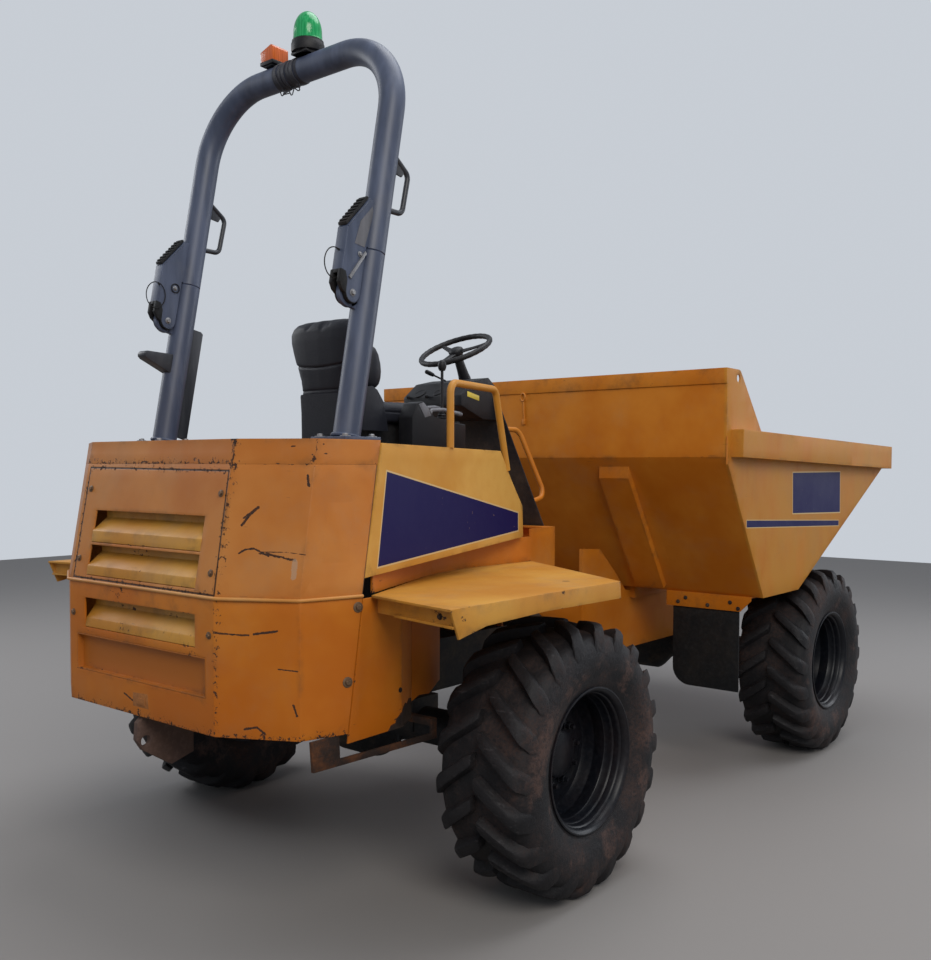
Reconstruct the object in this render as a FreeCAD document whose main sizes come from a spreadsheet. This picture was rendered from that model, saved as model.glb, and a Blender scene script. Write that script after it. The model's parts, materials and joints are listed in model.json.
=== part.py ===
import FreeCAD, Part
import math
import os
import Sketcher
from FreeCAD import Vector

# Site dumper with an articulated chassis, a forward tipping skip and a folding roll bar.
# Millimetres. +X is forward, +Y is left, +Z is up and the ground is at zero.
# Every place along X is given as a distance ahead of the rear axle.

doc = FreeCAD.newDocument("site_dumper")
sheet = doc.addObject("Spreadsheet::Sheet", "Sizes")


class Size:
    """A size with its value and the words that say it in the sheet, so that sums of sizes stay bound."""

    def __init__(self, text, value):
        self.text = text
        self.value = value

    def joined(self, sign, other, value):
        return Size("(" + self.text + " " + sign + " " + words(other) + ")", value)

    def __add__(self, other):
        return self.joined("+", other, self.value + number(other))

    def __radd__(self, other):
        return self + other

    def __sub__(self, other):
        return self.joined("-", other, self.value - number(other))

    def __rsub__(self, other):
        return Size(words(other), number(other)) - self

    def __mul__(self, other):
        return self.joined("*", other, self.value * number(other))

    def __rmul__(self, other):
        return self * other

    def __truediv__(self, other):
        return self.joined("/", other, self.value / number(other))

    def __neg__(self):
        return self * -1


def number(size):
    return size.value if isinstance(size, Size) else size


def words(size):
    return size.text if isinstance(size, Size) else repr(size)


sheet_rows = []


def keep(name, size):
    """Write one named size, or a sum of named sizes, into the sheet."""
    row = len(sheet_rows) + 1
    sheet_rows.append(name)
    sheet.set("A%d" % row, name)
    bound = isinstance(size, Size)
    sheet.set("B%d" % row, "=" + size.text.replace("Sizes.", "") if bound else repr(size))
    sheet.setAlias("B%d" % row, name)
    return Size("Sizes." + name, float(number(size)))


# Driving sizes: name, value
driving_sizes = (
    ("wheelbase", 2603.0),
    ("half_track", 1021.0),
    ("tyre_radius", 527.5),
    ("tyre_half_width", 202.5),
    ("tread_half_width", 172.0),
    ("lug_height", 38.0),
    ("lug_count", 20),
    ("rim_radius", 283.0),
    ("rim_wall", 12.0),
    ("disc_inset", 45.0),
    ("disc_wall", 18.0),
    ("hub_radius", 150.0),
    ("spigot_radius", 60.0),
    ("axle_tube_radius", 78.0),
    ("axle_ball_radius", 185.0),
    ("running_gap", 0.3),
    ("sheet_wall", 8.0),
    ("plate_wall", 20.0),
    ("tail_reach", 1193.0),
    ("tail_lean", 99.0),
    ("tail_half", 455.0),
    ("flank_half", 785.0),
    ("tail_bottom", 739.0),
    ("belt_height", 1207.0),
    ("deck_height", 1742.0),
    ("cap_band", 86.0),
    ("hitch_reach", 1204.0),
    ("hitch_bore", 20.0),
    ("fender_height", 1205.0),
    ("fender_half", 1222.0),
    ("fender_skirt", 64.0),
    ("floor_rise", 57.0),
    ("column_rise", 152.0),
    ("sill_rise", 115.0),
    ("column_half", 468.0),
    ("pivot_reach", 1100.0),
    ("pivot_pin_radius", 42.0),
    ("frame_half", 310.0),
    ("frame_top", 880.0),
    ("frame_bottom", 650.0),
    ("front_frame_half", 320.0),
    ("skip_half", 1137.0),
    ("skip_rear", 1281.0),
    ("skip_top", 2129.0),
    ("skip_crease", 1700.0),
    ("skip_floor", 970.0),
    ("skip_floor_rear", 1757.0),
    ("skip_floor_front", 2240.0),
    ("skip_lip", 3700.0),
    ("skip_lip_height", 1646.0),
    ("rim_rail_proud", 63.0),
    ("rim_rail_rear_top", 1834.0),
    ("rim_rail_front_top", 1790.0),
    ("tip_pivot_reach", 2950.0),
    ("tip_pivot_height", 1100.0),
    ("roll_bar_radius", 50.8),
    ("roll_bar_half", 567.0),
    ("roll_bar_top", 3290.0),
    ("roll_bar_bend", 305.0),
    ("roll_bar_foot", 717.0),
    ("roll_bar_lean", 10.78),
    ("fold_pivot_reach", 680.0),
    ("fold_pivot_height", 2275.0),
    ("wheel_rim_radius", 178.0),
    ("seat_half", 225.0),
)
for name, value in driving_sizes:
    keep(name, value)


values = {name: Size("Sizes." + name, float(value)) for name, value in driving_sizes}


class Words:
    """Reads a size of the sheet by its name."""

    def __getattr__(self, name):
        return values[name]


size = Words()


def derived(name, length):
    values[name] = keep(name, length)


# The frame's origin is under the middle of the machine's length.
derived("rear_axle", (size.hitch_reach - size.skip_lip) / 2)
derived("axle_height", size.tyre_radius * 1)
derived("deck_reach", size.tail_reach - size.tail_lean)
derived("floor_height", size.fender_height + size.floor_rise)
derived("column_height", size.fender_height + size.column_rise)


def ahead(distance):
    """The X of a place this far ahead of the rear axle."""
    return size.rear_axle + distance


def bind(thing, prop, length):
    if isinstance(length, Size):
        thing.setExpression(prop, length.text)


def put(thing, x=0, y=0, z=0, axis=(0, 0, 1), angle=0):
    """Place a thing, with its place bound to the sheet."""
    turn = FreeCAD.Rotation(Vector(*axis), number(angle))
    thing.Placement = FreeCAD.Placement(Vector(number(x), number(y), number(z)), turn)
    for key, length in (("x", x), ("y", y), ("z", z)):
        bind(thing, "Placement.Base." + key, length)
    bind(thing, "Placement.Rotation.Angle", angle)
    return thing


def block(name, low, high):
    """A box between its lowest and its highest corner."""
    thing = doc.addObject("Part::Box", name)
    for prop, start, end in zip(("Length", "Width", "Height"), low, high):
        span = end - start
        setattr(thing, prop, number(span))
        bind(thing, prop, span)
    return put(thing, *low)


TURNS = {"x": ((0, 1, 0), 90), "y": ((1, 0, 0), -90), "z": ((0, 0, 1), 0)}


def rod(name, radius, length, x, y, z, along="y"):
    """A cylinder that starts at a point and runs along +X, +Y or +Z."""
    thing = doc.addObject("Part::Cylinder", name)
    thing.Radius = number(radius)
    thing.Height = number(length)
    bind(thing, "Radius", radius)
    bind(thing, "Height", length)
    return put(thing, x, y, z, *TURNS[along])


def fuse(name, parts):
    thing = doc.addObject("Part::MultiFuse", name)
    thing.Shapes = parts
    thing.Refine = True
    return thing


def cut(name, base, tool):
    thing = doc.addObject("Part::Cut", name)
    thing.Base = base
    thing.Tool = tool
    thing.Refine = True
    return thing


def mirrored(name, source):
    """The same piece on the other side of the machine's middle plane."""
    thing = doc.addObject("Part::Mirroring", name)
    thing.Source = source
    thing.Normal = (0, 1, 0)
    return thing


PLANES = {"side": "XZ_Plane", "floor": "XY_Plane", "cross": "YZ_Plane"}


def sketch(body, name, plane, offset, points, holes=()):
    """A closed outline of straight lines, each corner bound to its own two sizes, with round holes."""
    drawn = body.newObject("Sketcher::SketchObject", name)
    origin = [f for f in body.Origin.OriginFeatures if f.Role == PLANES[plane]][0]
    drawn.AttachmentSupport = [(origin, "")]
    drawn.MapMode = "FlatFace"
    drawn.AttachmentOffset = FreeCAD.Placement(Vector(0, 0, number(offset)), FreeCAD.Rotation())
    bind(drawn, "AttachmentOffset.Base.z", offset)
    corners = [Vector(number(u), number(v), 0) for u, v in points]
    count = len(corners)
    for i in range(count):
        drawn.addGeometry(Part.LineSegment(corners[i], corners[(i + 1) % count]), False)
    for i in range(count):
        drawn.addConstraint(Sketcher.Constraint("Coincident", i, 2, (i + 1) % count, 1))
    for i, (u, v) in enumerate(points):
        pin(drawn, i, 1, u, v)
    for u, v, radius in holes:
        centre = Vector(number(u), number(v), 0)
        hole = drawn.addGeometry(Part.Circle(centre, Vector(0, 0, 1), number(radius)), False)
        pin(drawn, hole, 3, u, v)
        k = drawn.addConstraint(Sketcher.Constraint("Radius", hole, number(radius)))
        bind(drawn, "Constraints[%d]" % k, radius)
    return drawn


def pin(drawn, geometry, point, u, v):
    """Hold one point of a sketch at its two sizes."""
    for kind, axis, length in (("DistanceX", -2, u), ("DistanceY", -1, v)):
        if not isinstance(length, Size) and length == 0:
            drawn.addConstraint(Sketcher.Constraint("PointOnObject", geometry, point, axis))
            continue
        k = drawn.addConstraint(Sketcher.Constraint(kind, -1, 1, geometry, point, number(length)))
        bind(drawn, "Constraints[%d]" % k, length)


def plate(name, plane, low, thick, points, holes=(), rounds=()):
    """A plate padded from its low face. Side plates lie in XZ, floor plates in XY, cross plates in YZ.
    rounds gives corner numbers and a radius for each group of rounded corners."""
    body = doc.addObject("PartDesign::Body", name)
    offset = -low - thick if plane == "side" else low
    drawn = sketch(body, name + "_outline", plane, offset, points, holes)
    pad = body.newObject("PartDesign::Pad", name + "_pad")
    pad.Profile = drawn
    pad.Length = number(thick)
    bind(pad, "Length", thick)
    drawn.Visibility = False
    last = pad
    for corners, radius in rounds:
        doc.recompute()
        edges = corner_edges(last.Shape, plane, [points[c] for c in corners])
        rounded = body.newObject("PartDesign::Fillet", name + "_round")
        rounded.Base = (last, edges)
        rounded.Radius = number(radius)
        bind(rounded, "Radius", radius)
        last = rounded
    body.Tip = last
    return body


def corner_edges(shape, plane, corners):
    """Names of the edges that stand on the outline's corners."""
    keys = {"side": ("x", "z"), "floor": ("x", "y"), "cross": ("y", "z")}[plane]
    found = []
    for i, edge in enumerate(shape.Edges):
        ends = [v.Point for v in edge.Vertexes]
        for u, v in corners:
            near = [abs(getattr(p, keys[0]) - number(u)) + abs(getattr(p, keys[1]) - number(v)) < 0.01
                    for p in ends]
            if len(ends) == 2 and all(near):
                found.append("Edge%d" % (i + 1))
    return found


def made(name, shape):
    """A piece whose shape comes from Part's own functions, with sizes read from the sheet."""
    thing = doc.addObject("Part::Feature", name)
    thing.Shape = shape
    return thing


def loop_of(points):
    corners = [Vector(*[float(number(c)) for c in point]) for point in points]
    return Part.makePolygon(corners + corners[:1])


def face_of(points):
    return Part.Face(loop_of(points))


def skinned(sections, closed=False):
    """A solid with flat faces through outlines with as many corners; closed joins the last to the first."""
    sections = [[Vector(*[float(number(c)) for c in point]) for point in outline] for outline in sections]
    pairs = list(zip(sections, sections[1:]))
    if closed:
        pairs.append((sections[-1], sections[0]))
        faces = []
    else:
        faces = [face_of(sections[0]), face_of(sections[-1])]
    count = len(sections[0])
    for lower, upper in pairs:
        for i in range(count):
            j = (i + 1) % count
            corners = [lower[i], lower[j], upper[j], upper[i]]
            normal = (corners[1] - corners[0]).cross(corners[3] - corners[0]).normalize()
            if abs(normal.dot(corners[2] - corners[0])) < 1e-4:
                faces.append(face_of(corners))
            else:
                faces.append(face_of(corners[:3]))
                faces.append(face_of([corners[0], corners[2], corners[3]]))
    solid = Part.Solid(Part.Shell(faces))
    if solid.Volume < 0:
        solid.reverse()
    return solid


def hoop_points(sides, offset, radius):
    """Corners of a regular outline round the Y axis."""
    turns = [2 * math.pi * i / sides for i in range(sides)]
    return [(number(radius) * math.sin(t), number(offset), number(radius) * math.cos(t)) for t in turns]


def inset(path, wall):
    """An open path of two numbers a point, moved to its left by a wall, with mitred corners."""
    path = [(number(u), number(v)) for u, v in path]
    wall = number(wall)
    normals = []
    for (u0, v0), (u1, v1) in zip(path, path[1:]):
        reach = math.hypot(u1 - u0, v1 - v0)
        normals.append(((v0 - v1) / reach, (u1 - u0) / reach))
    moved = []
    for i, (u, v) in enumerate(path):
        n = normals[max(i - 1, 0)]
        m = normals[min(i, len(normals) - 1)]
        share = wall / (1 + n[0] * m[0] + n[1] * m[1])
        moved.append((u + share * (n[0] + m[0]), v + share * (n[1] + m[1])))
    return moved


def bent_sheet(path, wall):
    """The closed outline of a sheet folded along an open path."""
    return [(number(u), number(v)) for u, v in path] + inset(path, wall)[::-1]


def upright(outline, height):
    return [(u, v, height) for u, v in outline]


def pipe(points, bend, radius, sides=8, steps=3):
    """A many sided bar along straight runs joined by bends of a few facets each."""
    points = [Vector(*[float(number(c)) for c in point]) for point in points]
    track = [points[0]]
    for before, corner, after in zip(points, points[1:], points[2:]):
        back = (before - corner).normalize()
        on = (after - corner).normalize()
        half = back.getAngle(on) / 2
        inward = (back + on).normalize()
        centre = corner + inward * (bend / math.sin(half))
        start = corner + back * (bend / math.tan(half)) - centre
        end = corner + on * (bend / math.tan(half)) - centre
        axis = start.cross(end).normalize()
        for i in range(steps + 1):
            turn = FreeCAD.Rotation(axis, math.degrees((math.pi - 2 * half) * i / steps))
            track.append(centre + turn.multVec(start))
    track.append(points[-1])
    along = (track[1] - track[0]).normalize()
    side = along.cross(Vector(0.1, 0.2, 1)).normalize()
    up = along.cross(side)
    turns = [2 * math.pi * (i + 0.5) / sides for i in range(sides)]
    width = number(radius)
    outline = [track[0] + side * (width * math.cos(t)) + up * (width * math.sin(t)) for t in turns]
    sections = [outline]
    for i in range(1, len(track)):
        along = (track[i] - track[i - 1]).normalize()
        ahead_of = (track[i + 1] - track[i]).normalize() if i + 1 < len(track) else along
        normal = (along + ahead_of).normalize()
        outline = [p + along * ((track[i] - p).dot(normal) / along.dot(normal)) for p in outline]
        sections.append(outline)
    return skinned(sections)


nodes = []


def node(name, thing):
    thing.Label = name
    nodes.append(thing)
    return thing


# Wheels: a tyre with its chevron lugs, and a deep dished rim, both with flat facets

TYRE_SIDES = 20
RIM_SIDES = 16
HUB_HOLE_SIDES = 14
BEAD_HALF = 165
BEAD_RADIUS = 262
FLANGE_WALL = 12
LUG_FOOT_HALF = 33
LUG_TOP_HALF = 22
LUG_SINK = 22
LUG_TURN = 16.5


def prism(name, radius, start, end):
    """A many sided bar along the axle."""
    thing = doc.addObject("Part::Prism", name)
    thing.Polygon = RIM_SIDES
    thing.Circumradius = number(radius)
    thing.Height = number(end - start)
    bind(thing, "Circumradius", radius)
    bind(thing, "Height", end - start)
    return put(thing, 0, start, 0, *TURNS["y"])


def round_bar(name, radius, length, x, y, z, along="y", sides=14):
    """A many sided bar for a round piece that nothing turns on."""
    thing = doc.addObject("Part::Prism", name)
    thing.Polygon = sides
    thing.Circumradius = number(radius)
    thing.Height = number(length)
    bind(thing, "Circumradius", radius)
    bind(thing, "Height", length)
    return put(thing, x, y, z, *TURNS[along])


def carcass():
    tread = size.tyre_radius - size.lug_height
    # distance from the middle plane, radius
    half = (
        (BEAD_HALF, size.rim_radius + 5),
        (size.tyre_half_width, size.rim_radius + 75),
        (size.tyre_half_width - 3, tread - 55),
        (size.tread_half_width, tread),
    )
    sections = [(-y, r) for y, r in half] + [(y, r) for y, r in reversed(half)]
    body = skinned([hoop_points(TYRE_SIDES, y, r) for y, r in sections])
    reach = BEAD_HALF + 10
    return body.cut(skinned([hoop_points(RIM_SIDES, y, BEAD_RADIUS) for y in (-reach, reach)]))


def lugs():
    """Tapered bars from the middle to each shoulder, the two rows half a pitch apart.
    The middle end of a bar leads when the machine rolls forward."""
    top = math.sqrt(size.tyre_radius.value ** 2 - LUG_TOP_HALF ** 2)
    foot = top - size.lug_height.value - LUG_SINK
    profile = ((-LUG_FOOT_HALF, foot), (LUG_FOOT_HALF, foot), (LUG_TOP_HALF, top), (-LUG_TOP_HALF, top))
    count = int(size.lug_count.value)
    bars = []
    for side in (-1, 1):
        ends = []
        for offset, turn in ((6, 0), (size.tread_half_width.value - 2, -LUG_TURN)):
            c = math.cos(math.radians(turn))
            d = math.sin(math.radians(turn))
            ends.append([(x * c + z * d, side * offset, z * c - x * d) for x, z in profile])
        bar = skinned(ends)
        for i in range(count):
            turned = bar.copy()
            phase = 180 + (i + (0.5 if side > 0 else 0)) * 360 / count
            turned.rotate(Vector(0, 0, 0), Vector(0, 1, 0), phase)
            bars.append(turned)
    return bars


def rim():
    half = BEAD_HALF + size.running_gap
    seat = BEAD_RADIUS - size.running_gap
    side = size.rim_wall
    parts = [prism("rim_barrel", seat, -half - FLANGE_WALL, half + FLANGE_WALL),
             prism("rim_lip_out", size.rim_radius, -half - FLANGE_WALL, -half),
             prism("rim_lip_in", size.rim_radius, half, half + FLANGE_WALL)]
    dishes = [prism("rim_dish_out", seat - side, -half - FLANGE_WALL - 5, size.disc_inset - size.disc_wall),
              prism("rim_dish_in", seat - side, size.disc_inset * 1, half + FLANGE_WALL + 5)]
    clear = (size.spigot_radius + size.running_gap) / math.cos(math.pi / HUB_HOLE_SIDES)
    hole = round_bar("rim_hub_hole", clear, 60, 0, size.disc_inset - size.disc_wall - 20, 0,
                     "y", HUB_HOLE_SIDES)
    return cut("rim_form", fuse("rim_solid", parts), fuse("rim_hollow", dishes + [hole]))


rim_form = rim()
doc.recompute()
tyre_right = carcass().fuse(lugs()).removeSplitter()
middle = Vector(0, 0, 0)
across = Vector(0, 1, 0)
wheel_shapes = {
    "right": (tyre_right, rim_form.Shape),
    "left": (tyre_right.mirror(middle, across), rim_form.Shape.mirror(middle, across)),
}
for end, reach in (("rear", 0), ("front", size.wheelbase)):
    for side, sign in (("right", -1), ("left", 1)):
        for what, shape in zip(("tyre", "rim"), wheel_shapes[side]):
            name = "%s_%s_%s" % (what, end, side)
            wheel = put(made(name, shape), ahead(reach), size.half_track * sign, size.axle_height)
            node(name, wheel)


# Axles: a tube from hub to hub, with the drive casing in the middle

SADDLE_HALF = 85
SADDLE_WIDTH = 90
CASING_WIDTH = 210
NOSE_RADIUS = 95
NOSE_REACH = 165
SPIGOT_PROUD = 40


def axle(name, reach, seat):
    centre = ahead(reach)
    hub_end = size.half_track - size.disc_inset - size.running_gap
    inner = size.half_track - size.tyre_half_width
    hub = hub_end - inner + 20
    level = size.axle_height
    tube = round_bar(name + "_tube", size.axle_tube_radius, hub_end * 2, centre, -hub_end, level, "y", 10)
    hub_right = round_bar(name + "_hub_right", size.hub_radius, hub, centre, -hub_end, level)
    hub_left = round_bar(name + "_hub_left", size.hub_radius, hub, centre, inner - 20, level)
    spigot_end = hub_end + size.disc_wall + SPIGOT_PROUD
    spigot = size.disc_wall + SPIGOT_PROUD + 5
    spigot_right = rod(name + "_spigot_right", size.spigot_radius, spigot, centre, -spigot_end, level)
    spigot_left = rod(name + "_spigot_left", size.spigot_radius, spigot, centre, hub_end - 5, level)
    casing = round_bar(name + "_ball", size.axle_ball_radius, CASING_WIDTH, centre, -CASING_WIDTH / 2, level)
    nose = round_bar(name + "_nose", NOSE_RADIUS, NOSE_REACH * 2, centre - NOSE_REACH, 0, level, "x", 8)
    pads = []
    for side in (-1, 1):
        rail = side * (size.frame_half - wall / 2)
        low = (centre - SADDLE_HALF, rail - SADDLE_WIDTH / 2, level - 20)
        high = (centre + SADDLE_HALF, rail + SADDLE_WIDTH / 2, seat)
        pads.append(block("%s_pad_%d" % (name, side), low, high))
    node(name, fuse(name, [tube, hub_right, hub_left, spigot_right, spigot_left, casing, nose] + pads))


wall = size.plate_wall
axle("rear_axle_casing", 0, size.frame_bottom)
FRONT_PLATE_BOTTOM = 612
axle("front_axle_casing", size.wheelbase, FRONT_PLATE_BOTTOM)


# Rear chassis: two side rails, cross plates and the two ears that hold the centre pivot

RAIL_REAR = size.tail_reach - 73
RAIL_FRONT = 700
RAIL_TAIL_BOTTOM = 758
EAR_RADIUS = 115
EAR_ROOT_HALF = 200
EAR_WALL = 22
UPPER_EAR = 900
LOWER_EAR = 600
pivot_x = ahead(size.pivot_reach)
pivot_level = (UPPER_EAR + LOWER_EAR) / 2
PIN_HEAD = 16
PIN_SIDES = 12


def rear_frame():
    low = size.frame_bottom
    high = size.frame_top
    front = ahead(RAIL_FRONT)
    rear = ahead(-RAIL_REAR)
    outline = [(rear, RAIL_TAIL_BOTTOM), (ahead(-560), RAIL_TAIL_BOTTOM), (ahead(-400), low), (front, low),
               (front, high), (rear, high)]
    parts = [plate("rail_right", "side", -size.frame_half, wall, outline),
             plate("rail_left", "side", size.frame_half - wall, wall, outline)]
    # distance ahead of the rear axle, lowest and highest
    for i, (reach, bottom, top) in enumerate((
            (-RAIL_REAR, RAIL_TAIL_BOTTOM, high),
            (-330, low + 80, high),
            (330, low + 80, high),
            (RAIL_FRONT - wall, LOWER_EAR - EAR_WALL, UPPER_EAR + 60))):
        parts.append(block("rear_cross_%d" % i, (ahead(reach), -size.frame_half, bottom),
                           (ahead(reach) + wall, size.frame_half, top)))
    for side in (-1, 1):
        parts.append(block("tail_carrier_%d" % side,
                           (ahead(size.sheet_wall - size.tail_reach), side * 280 - 30, high - 110),
                           (rear, side * 280 + 30, high - 20)))
    for key, level in (("upper", UPPER_EAR), ("lower", LOWER_EAR - EAR_WALL)):
        parts.append(plate(key + "_ear", "floor", level, EAR_WALL,
                           [(front - 1, -EAR_ROOT_HALF), (pivot_x, -EAR_RADIUS),
                            (pivot_x, EAR_RADIUS), (front - 1, EAR_ROOT_HALF)]))
        parts.append(round_bar(key + "_ear_nose", EAR_RADIUS, EAR_WALL, pivot_x, 0, level, "z"))
    pin_low = LOWER_EAR - EAR_WALL
    parts.append(round_bar("pin_shank", size.pivot_pin_radius, UPPER_EAR + EAR_WALL - pin_low,
                           pivot_x, 0, pin_low, "z"))
    parts.append(round_bar("pin_head", size.pivot_pin_radius + 20, PIN_HEAD,
                           pivot_x, 0, UPPER_EAR + EAR_WALL, "z"))
    parts += steer_bracket()
    node("rear_frame", fuse("rear_frame", parts))


# Steering ram: from a bracket on the rear chassis to the arm of the centre pivot

STEER_SIDE = -230
STEER_REAR = 731
STEER_FRONT = 1230
STEER_BARREL_RADIUS = 34
STEER_ROD_RADIUS = 17
STEER_PIN_RADIUS = 14
STEER_EYE_RADIUS = 32
STEER_LEVEL = 690
STEER_EAR_WALL = 14
EYE_GAP = 0.5
STEER_EYE_HALF = 37
STEER_BARREL_LENGTH = 322
STEER_ROD_START = 180
steer_length = STEER_FRONT - STEER_REAR
ROD_SIDES = 10
EYE_SIDES = 12


def steer_bracket():
    parts = []
    root = ahead(RAIL_FRONT) - 1
    eye = ahead(STEER_REAR)
    reach = STEER_EYE_HALF + EYE_GAP
    for key, level in (("low", STEER_LEVEL - reach - STEER_EAR_WALL), ("high", STEER_LEVEL + reach)):
        parts.append(plate("steer_ear_" + key, "floor", level, STEER_EAR_WALL,
                           [(root, STEER_SIDE - 45), (eye, STEER_SIDE - 30), (eye + 24, STEER_SIDE - 12),
                            (eye + 24, STEER_SIDE + 12), (eye, STEER_SIDE + 30), (root, STEER_SIDE + 45)]))
    pin_low = STEER_LEVEL - STEER_EYE_HALF - 1
    parts.append(round_bar("steer_rear_pin", STEER_PIN_RADIUS, STEER_EYE_HALF * 2 + 2,
                           ahead(STEER_REAR), STEER_SIDE, pin_low, "z", PIN_SIDES))
    return parts


def ram_barrel(length, neck, radius, rod_radius, eye_radius, eye_half, pin_radius):
    """A ram's barrel along X from its eye on Z, with a bore for its rod beyond the neck."""
    gap = size.running_gap.value
    eye = skinned([[(x, y, z) for x, gone, y in hoop_points(EYE_SIDES, 0, eye_radius)]
                   for z in (-eye_half, eye_half)])
    link = Part.makeBox(neck + 10, eye_radius * 1.2, eye_half * 2, Vector(0, -eye_radius * 0.6, -eye_half))
    tube = skinned([[(end, y, z) for y, gone, z in hoop_points(EYE_SIDES, 0, radius)]
                    for end in (neck, length)])
    hole = Part.makeCylinder(pin_radius + gap, eye_half * 2 + 2, Vector(0, 0, -eye_half - 1))
    bore = skinned([[(end, y, z) for y, gone, z in hoop_points(ROD_SIDES, 0, rod_radius + gap)]
                    for end in (neck + 15, length + 10)])
    return eye.fuse([link, tube]).removeSplitter().cut(hole).cut(bore)


def ram_rod(length, start, radius, eye_radius, eye_half):
    """A ram's rod along its own X from its inner end to its eye, which ends in its pin's two short stubs."""
    bar = skinned([[(end, y, z) for y, gone, z in hoop_points(ROD_SIDES, 0, radius)]
                   for end in (start, length - eye_radius + 6)])
    eye = skinned([[(length + x, y, z) for x, gone, y in hoop_points(EYE_SIDES, 0, eye_radius)]
                   for z in (-eye_half, eye_half)])
    return bar.fuse(eye).removeSplitter()


rear_frame()
ENGINE_HALF = 255
ENGINE_REAR = 800
ENGINE_FRONT = 150
ENGINE_TOP = size.deck_height - 182
engine_low = (ahead(-ENGINE_REAR), -ENGINE_HALF, size.frame_top)
node("engine", block("engine", engine_low, (ahead(-ENGINE_FRONT), ENGINE_HALF, ENGINE_TOP)))

steer_barrel = made("steer_barrel", ram_barrel(
    STEER_BARREL_LENGTH, 38, STEER_BARREL_RADIUS, STEER_ROD_RADIUS, STEER_EYE_RADIUS - 6, STEER_EYE_HALF,
    STEER_PIN_RADIUS))
node("steer_barrel", put(steer_barrel, ahead(STEER_REAR), STEER_SIDE, STEER_LEVEL))
steer_rod = made("steer_rod", ram_rod(
    steer_length, STEER_ROD_START, STEER_ROD_RADIUS, STEER_EYE_RADIUS - 2, STEER_EYE_HALF))
node("steer_rod", put(steer_rod, ahead(STEER_REAR), STEER_SIDE, STEER_LEVEL))


# Centre pivot: a barrel round the upright pin and a round trunnion on which the front chassis rocks

YOKE_RADIUS = 88
TRUNNION_RADIUS = 70
YOKE_GAP = 3
ROCK_WALL_REAR = 1290
ROCK_WALL_THICK = 40
ARM_WALL = 25


def centre_pivot():
    low = LOWER_EAR + YOKE_GAP
    high = UPPER_EAR - YOKE_GAP
    wall_rear = ahead(ROCK_WALL_REAR)
    wall_front = wall_rear + ROCK_WALL_THICK
    collar_x = pivot_x + 60
    arm_top = STEER_LEVEL - STEER_EYE_HALF - size.running_gap
    parts = [
        round_bar("yoke_barrel", YOKE_RADIUS, high - low, pivot_x, 0, low, "z"),
        round_bar("yoke_trunnion", TRUNNION_RADIUS, ROCK_WALL_THICK + YOKE_GAP * 2,
                  wall_rear - YOKE_GAP, 0, pivot_level, "x", 16),
        round_bar("yoke_collar", TRUNNION_RADIUS + 30, wall_rear - YOKE_GAP - collar_x,
                  collar_x, 0, pivot_level, "x"),
        round_bar("yoke_cap", TRUNNION_RADIUS + 25, 20, wall_front + YOKE_GAP, 0, pivot_level, "x"),
        plate("yoke_arm", "floor", arm_top - ARM_WALL, ARM_WALL,
              [(pivot_x - 30, -60), (pivot_x + 90, -40), (ahead(STEER_FRONT) + 35, STEER_SIDE + 45),
               (ahead(STEER_FRONT) + 35, STEER_SIDE - 32), (ahead(STEER_FRONT) - 35, STEER_SIDE - 32)]),
    ]
    solid = fuse("yoke_solid", parts)
    bore = rod("yoke_bore", size.pivot_pin_radius + size.running_gap, 500, pivot_x, 0, low - 50, "z")
    node("pivot_yoke", cut("pivot_yoke", solid, bore))


centre_pivot()


# Front chassis: two side plates from the centre pivot to the skip's hinge

HINGE_PIN_RADIUS = 30
HINGE_BOSS_RADIUS = 80
RAM_SIDE = 150
RAM_FOOT_REACH = 1480
RAM_FOOT_HEIGHT = 640
RAM_FOOT_WALL = 14
RAM_HEAD_REACH = 2330
RAM_HEAD_HEIGHT = 850
RAM_PIN_RADIUS = 22
RAM_EYE_HALF = 28
SIDE_PLATE = 20
tip_x = ahead(size.tip_pivot_reach)
tip_z = size.tip_pivot_height


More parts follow.
